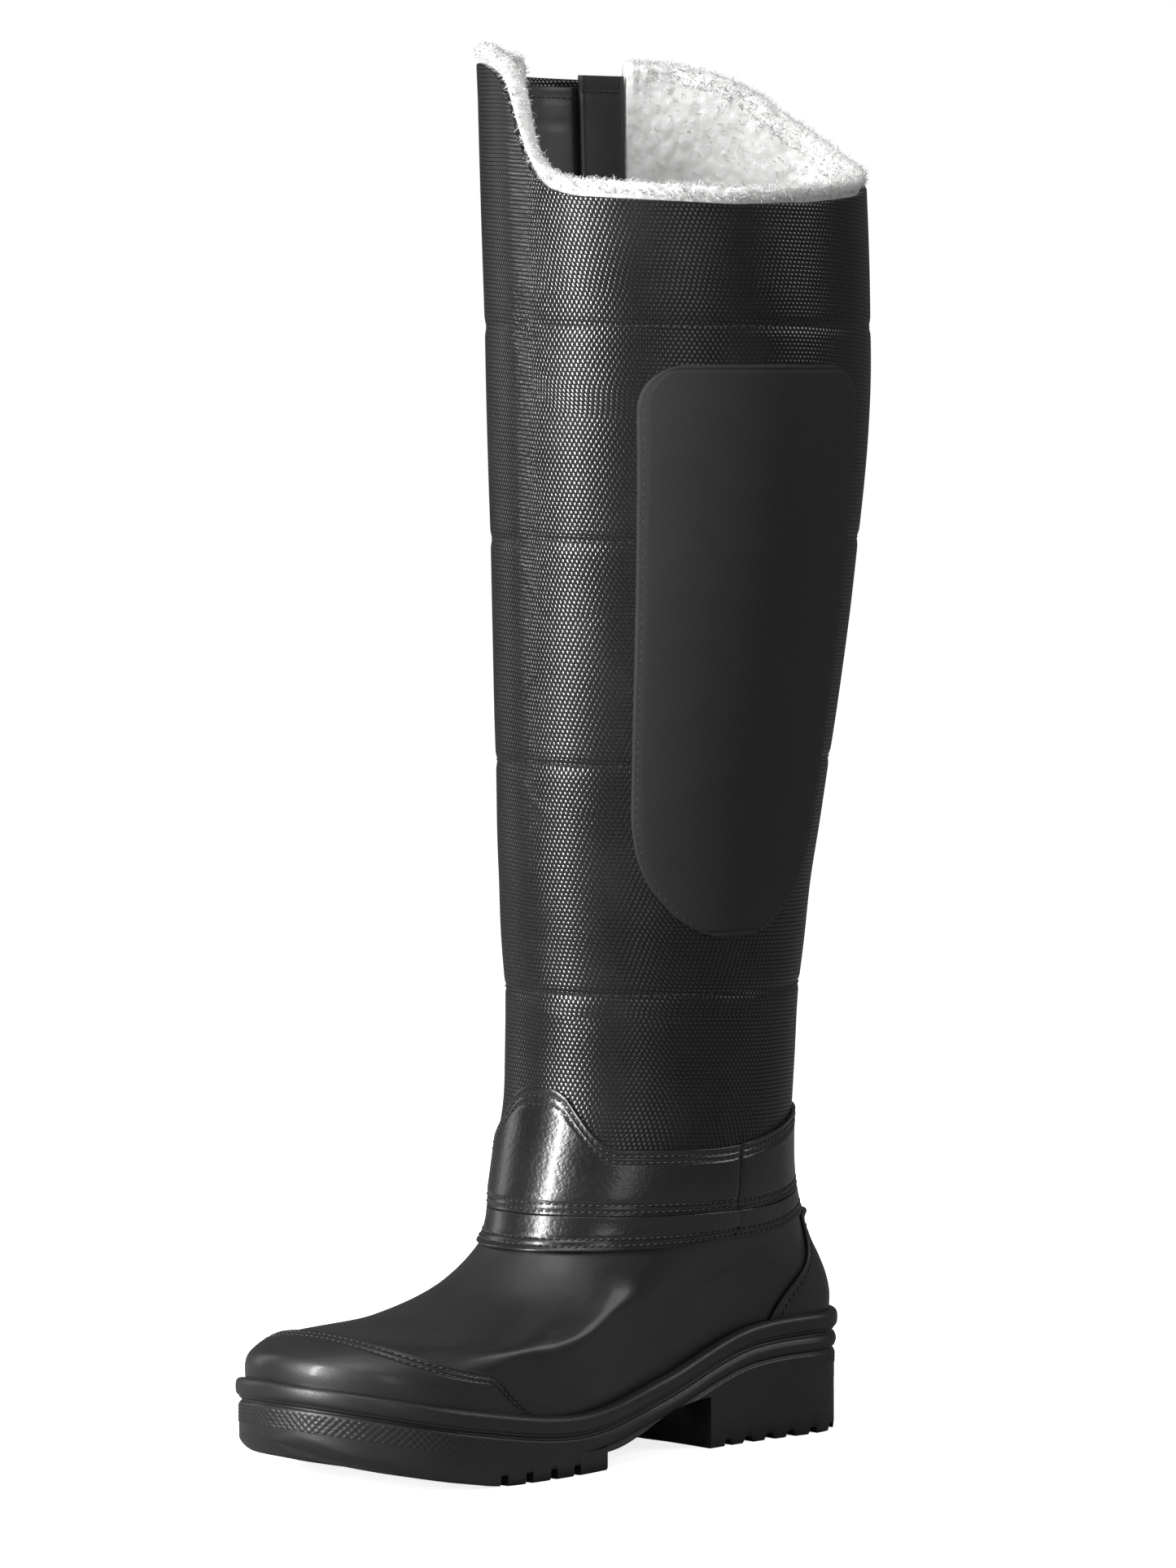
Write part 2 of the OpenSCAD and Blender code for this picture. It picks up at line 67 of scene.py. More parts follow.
def aimed(data, name, place, target):
    """An object at place that looks along its own -Z at target."""
    thing = bpy.data.objects.new(name, data)
    scene.collection.objects.link(thing)
    thing.location = place
    thing.rotation_euler = (Vector(target) - Vector(place)).to_track_quat("-Z", "Y").to_euler()
    return thing


def soft_light(name, place, target, size, power):
    """A rectangular light of size (width, height) in metres."""
    lamp = bpy.data.lights.new(name, "AREA")
    lamp.shape = "RECTANGLE"
    lamp.size, lamp.size_y = size
    lamp.energy = power
    return aimed(lamp, name, place, target)


camera_turn = math.radians(46.0)
camera_reach = 2.7
to_camera = Vector((math.sin(camera_turn), -math.cos(camera_turn), 0.0))
to_right = Vector((math.cos(camera_turn), math.sin(camera_turn), 0.0))
camera_data = bpy.data.cameras.new("camera")
camera_data.sensor_fit = "VERTICAL"
camera_data.sensor_height = 36.0
camera_data.lens = 36.0 * 9100 / 1927
camera_place = to_camera * camera_reach - to_right * 0.0225 + Vector((0, 0, 0.400))
camera_aim = camera_place - to_camera - Vector((0, 0, math.tan(math.radians(3.38))))
scene.camera = aimed(camera_data, "camera", camera_place, camera_aim)


def ring_place(turn, reach, height):
    """A place round the boot: turn in degrees from the toe towards the inner side."""
    return Vector((math.sin(math.radians(turn)) * reach, -math.cos(math.radians(turn)) * reach, height))


soft_light("strip", ring_place(-4, 1.7, 0.75), (0, 0, 0.28), (0.13, 1.5), 66)
soft_light("fill", ring_place(64, 2.2, 0.8), (0, 0, 0.28), (0.5, 1.1), 5)
soft_light("edge", ring_place(-75, 1.8, 0.7), (0, 0, 0.28), (0.5, 1.3), 4)
soft_light("side", ring_place(136, 1.8, 1.2), (0, 0, 0.2), (0.6, 0.9), 9)
soft_light("mouth", ring_place(20, 0.5, 1.35), (0, 0, 0.5), (0.5, 0.5), 2.4)
sky = bpy.data.lights.new("overhead", "SUN")
sky.energy = 0.8
sky.angle = math.radians(60)
aimed(sky, "overhead", ring_place(30, 0.6, 3.0), (0, 0, 0))

floor_half = 6.0
floor_mesh = bpy.data.meshes.new("floor")
floor_mesh.from_pydata([(-floor_half, -floor_half, 0), (floor_half, -floor_half, 0),
                        (floor_half, floor_half, 0), (-floor_half, floor_half, 0)], [], [(0, 1, 2, 3)])
floor = bpy.data.objects.new("floor", floor_mesh)
scene.collection.objects.link(floor)
floor_paint = bpy.data.materials.new("studio_floor")
floor_paint.use_nodes = True
floor_skin = floor_paint.node_tree.nodes["Principled BSDF"]
floor_skin.inputs["Roughness"].default_value = 0.9
floor_seen = floor_paint.node_tree.nodes.new("ShaderNodeLightPath").outputs["Is Camera Ray"]
floor_tone = floor_paint.node_tree.nodes.new("ShaderNodeMapRange")
floor_tone.inputs["To Min"].default_value = 0.25
floor_tone.inputs["To Max"].default_value = 0.95
floor_paint.node_tree.links.new(floor_seen, floor_tone.inputs["Value"])
floor_paint.node_tree.links.new(floor_tone.outputs["Result"], floor_skin.inputs["Base Color"])
floor_skin.inputs["Emission Color"].default_value = (1, 1, 1, 1)
floor_glow = floor_paint.node_tree.nodes.new("ShaderNodeMath")
floor_glow.operation = "MULTIPLY"
floor_glow.inputs[1].default_value = 0.8
floor_paint.node_tree.links.new(floor_seen, floor_glow.inputs[0])
floor_paint.node_tree.links.new(floor_glow.outputs[0], floor_skin.inputs["Emission Strength"])
floor_mesh.materials.append(floor_paint)

# Shaft shell. A tube of black coated fabric, woven in glossy grains and quilted by four rows of
# stitches. It is open along the zip, and its top edge is low on the inner side.
toe_y, heel_y = -181.0, 75.0
top_inner, top_outer = 453.0, 503.0
zip_foot = np.array([-44.5, 16.0, 91.0])
zip_head = np.array([-66.0, 33.0, 496.0])
zip_run = zip_head - zip_foot
zip_gap = 9.0
shell_thick = 2.0


def zip_y(z):
    """Depth of the straight zip line at a height."""
    return zip_foot[1] + zip_run[1] * (z - zip_foot[2]) / zip_run[2]


def shaft_row(z, front, back, inner):
    """A level slice of the leg. Its outer half width puts the zip line on the skin: the line's
    x divided by the sine of the angle at which the oval meets it."""
    across = (front + back - 2 * zip_y(z)) / (back - front)
    line_x = zip_foot[0] + zip_run[0] * (z - zip_foot[2]) / zip_run[2]
    half = (back - front) / 2
    return [front, z, back, z, half, half, 2, 1, inner, -line_x / math.sqrt(1 - across ** 2), 0]


def low_row(front, z_front, back, z_back, toe_round, heel_round, power, leg, outer, dip):
    """A slice of the foot: its two ends, their roundings, its share of the leg oval and of the dip."""
    return [front, z_front, back, z_back, toe_round, heel_round, power, leg, 45, outer, dip]


slices = np.array([
    low_row(toe_y, 36, heel_y, 42, 62, 34, 3, 0, 45, 1),
    low_row(toe_y + 2, 47, heel_y + 1, 50, 58, 34, 2.8, 0.02, 45, 0.9),
    low_row(toe_y + 21, 56, heel_y, 57, 58, 36, 2.5, 0.08, 45, 0.7),
    low_row(toe_y + 56, 59, heel_y - 3, 64, 66, 40, 2.3, 0.22, 45, 0.45),
    low_row(-93, 66, heel_y - 7, 71, 70, 46, 2.1, 0.45, 45, 0.25),
    low_row(-71, 80, heel_y - 12, 80, 67, 52, 2, 0.8, 45, 0.1),
    low_row(-65, 96, heel_y - 16, 94, 62, 60, 2, 1, shaft_row(95, -65, heel_y - 16, 45)[9], 0),
    low_row(-61, 112, heel_y - 17, 110, 59.5, 59.5, 2, 1, shaft_row(111, -61, heel_y - 17, 45)[9], 0),
    shaft_row(130, -57, 59, 45),
    shaft_row(160, -56, 61, 46),
    shaft_row(200, -58, 66, 48),
    shaft_row(250, -60, 75, 53),
    shaft_row(310, -61, 83, 60),
    shaft_row(370, -62, 88, 66),
    shaft_row(420, -62, 88, 67),
    shaft_row(515, -61, 83, 65)])
last_slice = len(slices) - 1
plan_y = np.array([toe_y, -130, -80, -30, 20, heel_y])
plan_inner = np.array([42.0, 45, 44, 34, 30, 33])
plan_outer = np.array([42.0, 47, 47, 41, 34, 33])
feather_z = np.array([36.0, 25, 19, 26, 40, 42])


def curve(t, rows):
    """A smooth curve through numbered rows: the cubic whose slope at each row is half the step
    between its neighbours."""
    count = len(rows)
    t = np.clip(t, 0, count - 1)
    i = np.minimum(np.floor(t).astype(int), count - 2)
    f = t - i
    b, c = rows[i], rows[i + 1]
    if rows.ndim > 1:
        f = f[..., None]
        first, final = (i == 0)[..., None], (i == count - 2)[..., None]
    else:
        first, final = i == 0, i == count - 2
    a = np.where(first, 2 * b - c, rows[np.maximum(i - 1, 0)])
    d = np.where(final, 2 * c - b, rows[np.minimum(i + 2, count - 1)])
    return 0.5 * (2 * b + (c - a) * f + (2 * a - 5 * b + 4 * c - d) * f ** 2
                  + (3 * b - a - 3 * c + d) * f ** 3)


def plan_step(y):
    """Which plan station lies at a depth, as a fraction."""
    return np.interp(y, plan_y, np.arange(len(plan_y)))


def rounding(s, power):
    """Rounded end of a slice: the square root of one less a power of the distance still to go."""
    return np.sqrt(np.maximum(0, 1 - (1 - np.clip(s, 0, 1)) ** power))


def boot_point(t, a):
    """Outside of the boot in millimetres. t counts slices; a is the angle in degrees from the
    toe round the inner side (90), the heel (180) and the outer side (270). y runs along the
    slice as the cosine of a, and x is the half width there times the two end roundings."""
    t, a = np.broadcast_arrays(np.asarray(t, float), np.radians(np.asarray(a, float)))
    r = np.moveaxis(curve(t, slices), -1, 0)
    half = (r[2] - r[0]) / 2
    y = r[0] + half * (1 - np.cos(a))
    inner = np.sin(a) >= 0
    foot = np.where(inner, curve(plan_step(y), plan_inner), curve(plan_step(y), plan_outer))
    wide = (1 - r[7]) * foot + r[7] * np.where(inner, r[8], r[9])
    wide = wide * rounding((y - r[0]) / r[4], r[6]) * rounding((r[2] - y) / r[5], r[6])
    s = (y - r[0]) / (2 * half)
    line = feather_z[0] + (feather_z[-1] - feather_z[0]) * (y - toe_y) / (heel_y - toe_y)
    z = r[1] * (1 - s) + r[3] * s + r[10] * (curve(plan_step(y), feather_z) - line)
    return np.stack([np.where(inner, wide, -wide), y, z], -1)


def outward(t, a):
    """Unit normal of the boot: the cross product of its steps round and up."""
    t, a = np.broadcast_arrays(np.clip(t, 0, last_slice), np.asarray(a, float))
    low, high = np.maximum(t - 0.05, 0), np.minimum(t + 0.05, last_slice)
    n = np.cross(boot_point(t, a + 2) - boot_point(t, a - 2), boot_point(high, a) - boot_point(low, a))
    return n / np.linalg.norm(n, axis=-1, keepdims=True)


def inside(t, a, depth):
    """The boot's skin moved inwards by depth, in millimetres."""
    return boot_point(t, a) - np.asarray(depth, float)[..., None] * outward(t, a)


slice_heights = slices[4:, 3]


def slice_at(z):
    """Slice number at a height of the shaft."""
    return np.interp(z, slice_heights, np.arange(4, last_slice + 1))


def angle_at(z, w):
    """Angle at which the shaft crosses the upright line that lies w behind the zip."""
    r = np.moveaxis(curve(slice_at(z), slices), -1, 0)
    half = (r[2] - r[0]) / 2
    return 360 - np.degrees(np.arccos(np.clip((r[0] + half - zip_y(z) - w) / half, -1, 1)))


def ease(f):
    """Smooth step from 0 to 1."""
    g = np.clip(f, 0, 1)
    return g * g * (3 - 2 * g)


def mix(a, b, f):
    return a + (b - a) * f


rim_turn = (-107, -80, -50, -30, -20, -13, -9, -4, 0, 6, 16, 40, 65, 90, 120, 140, 157, 170, 180, 189,
            200, 209, 218, 230, 242, 253)
rim_share = (0.93, 0.94, 1, 1, 0.95, 0.88, 0.73, 0.44, 0.25, 0.14, 0.08, 0.05, 0.02, 0.04, 0.1, 0.17,
             0.25, 0.35, 0.46, 0.56, 0.72, 0.82, 0.88, 0.94, 0.94, 0.93)


def top_z(a):
    """Height of the top edge, from the table of its shares: it drops steeply over the shin and
    climbs slowly from the inner side round the back. Three readings are averaged to round it."""
    share = (np.interp(a - 3, rim_turn, rim_share) + 2 * np.interp(a, rim_turn, rim_share)
             + np.interp(a + 3, rim_turn, rim_share)) / 4
    return top_inner + (top_outer - top_inner) * share


def put(name, points, faces, uv=None):
    """A new piece from points in millimetres (n by 3) and quads or triangles; uv is n by 2, in metres."""
    mesh = bpy.data.meshes.new(name)
    mesh.from_pydata((np.asarray(points) * 0.001).tolist(), [], np.asarray(faces).tolist())
    if uv is not None:
        corner = np.empty(len(mesh.loops), dtype=np.int32)
        mesh.loops.foreach_get("vertex_index", corner)
        layer = mesh.uv_layers.new(name="UVMap")
        layer.data.foreach_set("uv", np.asarray(uv)[corner].astype(np.float32).ravel())
    mesh.polygons.foreach_set("use_smooth", np.ones(len(mesh.polygons), dtype=bool))
    mesh.update()
    piece = bpy.data.objects.new(name, mesh)
    scene.collection.objects.link(piece)
    return piece


def lattice(rows, cols, round_, flip=False):
    """Quads of a grid of rows by cols points; a round grid joins its last column to its first."""
    i = np.arange(rows - 1)[:, None]
    j = np.arange(cols if round_ else cols - 1)[None, :]
    k = (j + 1) % cols
    quads = np.stack([i * cols + j, i * cols + k, (i + 1) * cols + k, (i + 1) * cols + j], -1)
    quads = quads.reshape(-1, 4)
    return quads[:, ::-1] if flip else quads


def shell_of(name, t, a, outer, inner, round_=False):
    """A closed sheet between two depths over a grid of slice numbers t and angles a. Its UV map
    is in metres: u round the boot and v up it, measured along the outer face."""
    t, a = np.broadcast_arrays(t, a)
    front, back = inside(t, a, outer + 0 * t), inside(t, a, inner + 0 * t)
    rows, cols = t.shape
    n = rows * cols
    faces = [lattice(rows, cols, round_), lattice(rows, cols, round_, True) + n]
    j = np.arange(cols if round_ else cols - 1)
    k = (j + 1) % cols
    top = (rows - 1) * cols
    faces.append(np.stack([k, j, n + j, n + k], -1))
    faces.append(np.stack([top + j, top + k, n + top + k, n + top + j], -1))
    if not round_:
        i = np.arange(rows - 1) * cols
        e = cols - 1
        faces.append(np.stack([i, i + cols, n + i + cols, n + i], -1))
        faces.append(np.stack([i + cols + e, i + e, n + i + e, n + i + cols + e], -1))
    up = np.zeros((rows, cols))
    up[1:] = np.cumsum(np.linalg.norm(np.diff(front, axis=0), axis=2), axis=0)
    around = np.zeros((rows, cols))
    around[:, 1:] = np.cumsum(np.linalg.norm(np.diff(front, axis=1), axis=2), axis=1)
    uv = np.stack([around, front[..., 2]], -1).reshape(-1, 2) * 0.001
    return put(name, np.concatenate([front.reshape(-1, 3), back.reshape(-1, 3)]),
               np.concatenate(faces), np.concatenate([uv, uv]))


def soften(piece, width, segments=2):
    """Rounds the cut edges of a piece by width millimetres."""
    bevel = piece.modifiers.new("edge", "BEVEL")
    bevel.width = width * 0.001
    bevel.segments = segments
    bevel.limit_method = "ANGLE"
    bevel.angle_limit = math.radians(50)
    return piece


def open_angle(z, v, front, rear):
    """Angle on a sheet that is open along the zip: v runs from its front edge round the toe,
    the inner side and the heel to its rear edge. The edges lie front and rear away from the zip."""
    return mix(angle_at(z, -front) - 360, angle_at(z, rear), v)


quilt_rows = (168.0, 250.0, 330.0, 410.0)
u, v = np.meshgrid(np.linspace(0, 1, 290), np.linspace(0, 1, 160), indexing="ij")
z = mix(90, top_z(open_angle(480.0 + 0 * v, v, zip_gap / 2, zip_gap / 2)), u)
a = open_angle(z, v, zip_gap / 2, zip_gap / 2)
groove = sum(0.55 * np.exp(-((z - row) / 1.7) ** 2) for row in quilt_rows)
puff = 0.5 * np.abs(np.sin(math.pi * (z - 168) / 80.7)) ** 0.6
sag = 0.5 * np.sin(a * 0.05 + z * 0.04) * np.sin(z * 0.11 + a * 0.02) * np.exp(-((z - 175) / 60) ** 2)
shell = shell_of("shaft_shell_fabric", slice_at(z), a, groove - puff * 0.4 + sag * 0.6,
                 shell_thick + groove * 0.3)
soften(shell, 0.5)
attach(shell, "boot")
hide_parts("shaft_shell")


def fresh_material(name):
    """A new material, its links and its Principled shader."""
    made = bpy.data.materials.new(name)
    made.use_nodes = True
    nodes = made.node_tree.nodes
    return made, nodes, made.node_tree.links, nodes["Principled BSDF"]


def new_group(name, ins, outs):
    """A shader node group with named sockets, each (name, kind, value)."""
    group = bpy.data.node_groups.new(name, "ShaderNodeTree")
    for label, kind, value in ins:
        socket = group.interface.new_socket(label, in_out="INPUT", socket_type=kind)
        if value is not None:
            socket.default_value = value
    for label, kind in outs:
        group.interface.new_socket(label, in_out="OUTPUT", socket_type=kind)
    return group, group.nodes.new("NodeGroupInput"), group.nodes.new("NodeGroupOutput")


class Graph:
    """Shorthand for wiring maths into one node tree."""

    def __init__(self, tree):
        self.tree = tree

    def plug(self, socket, value):
        if hasattr(value, "is_output"):
            self.tree.links.new(value, socket)
        else:
            socket.default_value = value

    def maths(self, kind, a, b=0.0, c=0.0):
        node = self.tree.nodes.new("ShaderNodeMath")
        node.operation = kind
        for socket, value in zip(node.inputs, (a, b, c)):
            self.plug(socket, value)
        return node.outputs[0]

    def split(self, vector):
        node = self.tree.nodes.new("ShaderNodeSeparateXYZ")
        self.plug(node.inputs[0], vector)
        return node.outputs

    def join(self, x, y, z=0.0):
        node = self.tree.nodes.new("ShaderNodeCombineXYZ")
        for socket, value in zip(node.inputs, (x, y, z)):
            self.plug(socket, value)
        return node.outputs[0]

    def noise(self, vector, scale, detail=4.0, rough=0.55):
        node = self.tree.nodes.new("ShaderNodeTexNoise")
        self.plug(node.inputs["Vector"], vector)
        node.inputs["Scale"].default_value = scale
        node.inputs["Detail"].default_value = detail
        node.inputs["Roughness"].default_value = rough
        return node.outputs[0]

    def cells(self, vector, scale, feature="F1"):
        node = self.tree.nodes.new("ShaderNodeTexVoronoi")
        node.feature = feature
        self.plug(node.inputs["Vector"], vector)
        node.inputs["Scale"].default_value = scale
        return node.outputs[0]

    def ramp(self, value, low, high, to_low=0.0, to_high=1.0):
        node = self.tree.nodes.new("ShaderNodeMapRange")
        for socket, number in zip(node.inputs, (value, low, high, to_low, to_high)):
            self.plug(socket, number)
        return node.outputs[0]

    def blend(self, factor, a, b):
        node = self.tree.nodes.new("ShaderNodeMix")
        node.data_type = "RGBA"
        self.plug(node.inputs[0], factor)
        self.plug(node.inputs[6], a)
        self.plug(node.inputs[7], b)
        return node.outputs[2]

    def bump(self, height, strength, distance, normal=None):
        node = self.tree.nodes.new("ShaderNodeBump")
        node.inputs["Strength"].default_value = strength
        node.inputs["Distance"].default_value = distance
        self.plug(node.inputs["Height"], height)
        if normal is not None:
            self.plug(node.inputs["Normal"], normal)
        return node.outputs[0]


def grain_weave_group():
    """Staggered lattice of oval grains: the distance from each cell's middle, with every second
    row moved half a cell, made into a dome. Puts out the height and a lower, rounder mask."""
    group, ins, outs = new_group("woven_grains", [
        ("Vector", "NodeSocketVector", None), ("Across", "NodeSocketFloat", 0.0015),
        ("Up", "NodeSocketFloat", 0.0010)],
        [("Height", "NodeSocketFloat"), ("Mask", "NodeSocketFloat")])
    g = Graph(group)
    x, y, _ = g.split(ins.outputs["Vector"])
    row = g.maths("DIVIDE", y, ins.outputs["Up"])
    odd = g.maths("MULTIPLY", g.maths("FLOOR", row), 0.5)
    col = g.maths("ADD", g.maths("DIVIDE", x, ins.outputs["Across"]), odd)
    dx = g.maths("SUBTRACT", g.maths("FRACT", col), 0.5)
    dy = g.maths("SUBTRACT", g.maths("FRACT", row), 0.5)
    reach = g.maths("ADD", g.maths("POWER", g.maths("MULTIPLY", g.maths("ABSOLUTE", dx), 2.25), 2.4),
                    g.maths("POWER", g.maths("MULTIPLY", g.maths("ABSOLUTE", dy), 2.0), 2.4))
    dome = g.maths("MAXIMUM", g.maths("SUBTRACT", 1.0, reach), 0.0)
    group.links.new(dome, outs.inputs["Height"])
    group.links.new(g.ramp(dome, 0.05, 0.45), outs.inputs["Mask"])
    return group


grain_weave = grain_weave_group()


def coated_fabric():
    """Black coating over a coarse weave: glossy grains in dull furrows, the furrows painted darker than the
    grains as painted shade, and dust in patches.
    """
    made, nodes, links, skin = fresh_material("coated_fabric")
    g = Graph(made.node_tree)
    uv = nodes.new("ShaderNodeUVMap").outputs[0]
    x, y, _ = g.split(uv)
    drift = g.maths("MULTIPLY", g.noise(uv, 9.0, 2.0), 0.004)
    slant = g.join(x, g.maths("ADD", g.maths("ADD", y, g.maths("MULTIPLY", x, 0.035)), drift))
    weave = nodes.new("ShaderNodeGroup")
    weave.node_tree = grain_weave
    links.new(slant, weave.inputs["Vector"])
    weave.inputs["Across"].default_value = 0.0020
    weave.inputs["Up"].default_value = 0.0015
    wear = g.noise(nodes.new("ShaderNodeTexCoord").outputs["Object"], 26.0, 5.0)
    # Painted shade: the grain mask gives the furrows a darker colour than the grain tops; dust then pales
    # random patches over it.
    tone = g.blend(weave.outputs["Mask"], (0.003, 0.003, 0.0031, 1), (0.008, 0.008, 0.0083, 1))
    dust_and_furrow_shade = g.blend(g.ramp(wear, 0.45, 0.8, 0.0, 0.5), tone, (0.018, 0.018, 0.0185, 1))
    links.new(dust_and_furrow_shade, skin.inputs["Base Color"])
    gloss = g.ramp(weave.outputs["Mask"], 0, 1, 0.5, 0.16)
    links.new(g.maths("ADD", gloss, g.ramp(wear, 0.3, 0.8, -0.03, 0.08)), skin.inputs["Roughness"])
    fine = g.bump(g.noise(uv, 2600.0, 2.0), 0.25, 0.0001)
    links.new(g.bump(weave.outputs["Height"], 1.0, 0.00011, fine), skin.inputs["Normal"])
    links.new(g.ramp(weave.outputs["Mask"], 0, 1, 0.12, 0.6), skin.inputs["Specular IOR Level"])
    return made


shell.data.materials.append(coated_fabric())

# Stitching. Thick black thread laid as short raised stitches, each a small arched capsule whose
# ends dive into the material. Every seam of the boot uses it.
stitch_sides, stitch_rings = 5, 5
ring_turn = np.linspace(0, 2 * math.pi, stitch_sides, endpoint=False)
ring_step = np.linspace(-1, 1, stitch_rings)


def thread():
    """Waxed black thread with a fine twist across each stitch, its ridges painted lighter than the grooves
    between them as painted shade.
    """
    made, nodes, links, skin = fresh_material("waxed_thread")
    g = Graph(made.node_tree)
    along = g.split(nodes.new("ShaderNodeUVMap").outputs[0])[0]
    twist = g.maths("SINE", g.maths("MULTIPLY", along, 9000.0))
    # Painted shade: the colour follows the twist, light on its ridges and dark in its grooves.
    links.new(g.blend(g.ramp(twist, -1, 1), (0.010, 0.010, 0.011, 1), (0.035, 0.035, 0.037, 1)),
              skin.inputs["Base Color"])
    links.new(g.ramp(twist, -1, 1, 0.55, 0.38), skin.inputs["Roughness"])
    links.new(g.bump(twist, 0.5, 0.0001), skin.inputs["Normal"])
    return made


black_thread = thread()


def stitches(name, path, normal, pitch, body, slot="leather", length=0.72, thick=0.32, sunk=0.04):
    """Stitches along a path (n by 3, millimetres) with its normals. Each is a capsule of six
    sides and five rings, as long as length times the pitch, arched by the cosine of its length."""
    step = np.linalg.norm(np.diff(path, axis=0), axis=1)
    run = np.concatenate([[0], np.cumsum(step)])
    count = max(2, int(round(run[-1] / pitch)))
    at = (np.arange(count) + 0.5) * run[-1] / count
    def along(s, values):
        return np.stack([np.interp(s, run, values[:, k]) for k in range(3)], -1)
    middle, up = along(at, path), along(at, normal)
    lead = along(np.minimum(at + 0.4, run[-1]), path) - along(np.maximum(at - 0.4, 0), path)
    lead /= np.linalg.norm(lead, axis=1, keepdims=True)
    up -= (up * lead).sum(1, keepdims=True) * lead
    up /= np.linalg.norm(up, axis=1, keepdims=True)
    side = np.cross(lead, up)
    half = 0.5 * length * run[-1] / count
    girth = thick * np.sqrt(np.maximum(0.10, 1 - (np.abs(ring_step) * 0.94) ** 4))
    x = (half * ring_step)[:, None] + 0 * ring_turn
    y = girth[:, None] * np.cos(ring_turn)
    arch = thick * (0.9 * np.cos(ring_step * 1.45) - 0.25) - sunk
    h = girth[:, None] * np.sin(ring_turn) + arch[:, None]
    local = np.stack([x, y, h], -1).reshape(-1, 3)
    points = (middle[:, None] + local[None, :, 0:1] * lead[:, None] + local[None, :, 1:2] * side[:, None]
              + local[None, :, 2:3] * up[:, None])
    k = np.arange(stitch_sides)
    j = (k + 1) % stitch_sides
    ring = (np.arange(stitch_rings - 1) * stitch_sides)[:, None]
    quads = np.stack([ring + k, ring + j, ring + stitch_sides + j, ring + stitch_sides + k], -1)
    quads = quads.reshape(-1, 4)
    per = stitch_sides * stitch_rings
    faces = (quads[None] + (np.arange(count) * per)[:, None, None]).reshape(-1, 4)
    caps = [list(range(c * per + stitch_sides - 1, c * per - 1, -1)) for c in range(count)]
    tails = [list(range(c * per + per - stitch_sides, c * per + per)) for c in range(count)]
    mesh = bpy.data.meshes.new(name)
    mesh.from_pydata((points.reshape(-1, 3) * 0.001).tolist(), [], faces.tolist() + caps + tails)
    corner = np.empty(len(mesh.loops), dtype=np.int32)
    mesh.loops.foreach_get("vertex_index", corner)
    uv = np.tile(np.stack([local[:, 0], local[:, 1]], -1) * 0.001, (count, 1))
    mesh.uv_layers.new(name="UVMap").data.foreach_set("uv", uv[corner].astype(np.float32).ravel())
    mesh.polygons.foreach_set("use_smooth", np.ones(len(mesh.polygons), dtype=bool))
    mesh.update()
    piece = bpy.data.objects.new(name, mesh)
    scene.collection.objects.link(piece)
    mesh.materials.append(black_thread)
    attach(piece, body)
    return piece


def seam(name, t, a, lift, pitch=2.7, body="boot", **more):
    """Stitches along a line of slice numbers and angles, standing lift millimetres proud."""
    t, a = np.broadcast_arrays(np.asarray(t, float), np.asarray(a, float))
    return stitches(name, inside(t, a, -lift + 0 * t), outward(t, a), pitch, body, **more)


quilt_angle = np.linspace(0, 1, 700)
for number, row in enumerate(quilt_rows):
    edge = open_angle(np.full(700, row), 0.03 + 0.94 * quilt_angle, 17, 17)
    seam("quilt_stitches_%d" % (number + 1), slice_at(np.full(700, row)), edge, -0.5, 3.6,
         slot="coated_fabric", thick=0.22)

# Foot leather. Vamp, toe cap, heel counter, ankle band and the two collars are cut from glossy,
# finely grained black leather and lasted over one form, each lapped and stitched over the next.
leather_thick = 1.4
layer_gap = 0.15
collar_side, collar_peak = 110.0, 134.0
seam_v = 0.56


def collar_z(a):
    """Height of the upper edge of the collar: a rounded peak over the shin and a lift at the heel."""
    c = np.abs(np.where(a > 180, a - 360, a))
    return collar_side + (collar_peak - collar_side) * (1 - ease((c - 6) / 38)) + 13 * ease((c - 80) / 80)


def heel_lift(a, reach):
    """Rise of a seam towards the heel, as a smooth share."""
    return ease(np.maximum(0, 80 - np.abs(180 - a % 360)) / reach)


def band_top(a):
    return 5.55 + 0.3 * heel_lift(a, 60)


def band_foot(a):
    return 4.85 + 0.35 * heel_lift(a, 50)


def toe_seam(a):
    """Slice of the toe cap seam: nearly level across the toes, then down to the sole at the ball."""
    c = np.abs(a)
    return mix(2.05, 1.4, ease(c / 54)) - 1.35 * ease((c - 54) / 18)


def counter_half(t):
    """Half angle of the heel counter: widest at the sole and drawn in to its top."""
    return mix(50, 33, np.clip(t / 5.2, 0, 1))


def fold(t, a, start, end, wide, deep):
    """One fold between two places (slice number, angle): a hollow with a softer ridge along one
    side of it, both bells of the distance across, fading out beyond the ends."""
    x, y = ((a + 180) % 360 - 180) * 0.85, t * 13.0
    x0, y0, x1, y1 = start[1] * 0.85, start[0] * 13.0, end[1] * 0.85, end[0] * 13.0
    long = math.hypot(x1 - x0, y1 - y0)
    along = ((x - x0) * (x1 - x0) + (y - y0) * (y1 - y0)) / long
    across = ((x - x0) * (y1 - y0) - (y - y0) * (x1 - x0)) / long
    past = np.maximum(0, np.maximum(-along, along - long)) / (1.6 * wide)
    bend = across + 1.5 * np.sin(along * 0.16)
    wide, deep = 1.35 * wide, 0.4 * deep
    hollow = np.exp(-(bend / wide) ** 2) - 0.7 * np.exp(-((bend - 1.9 * wide) / wide) ** 2)
    return deep * np.exp(-past ** 2) * hollow


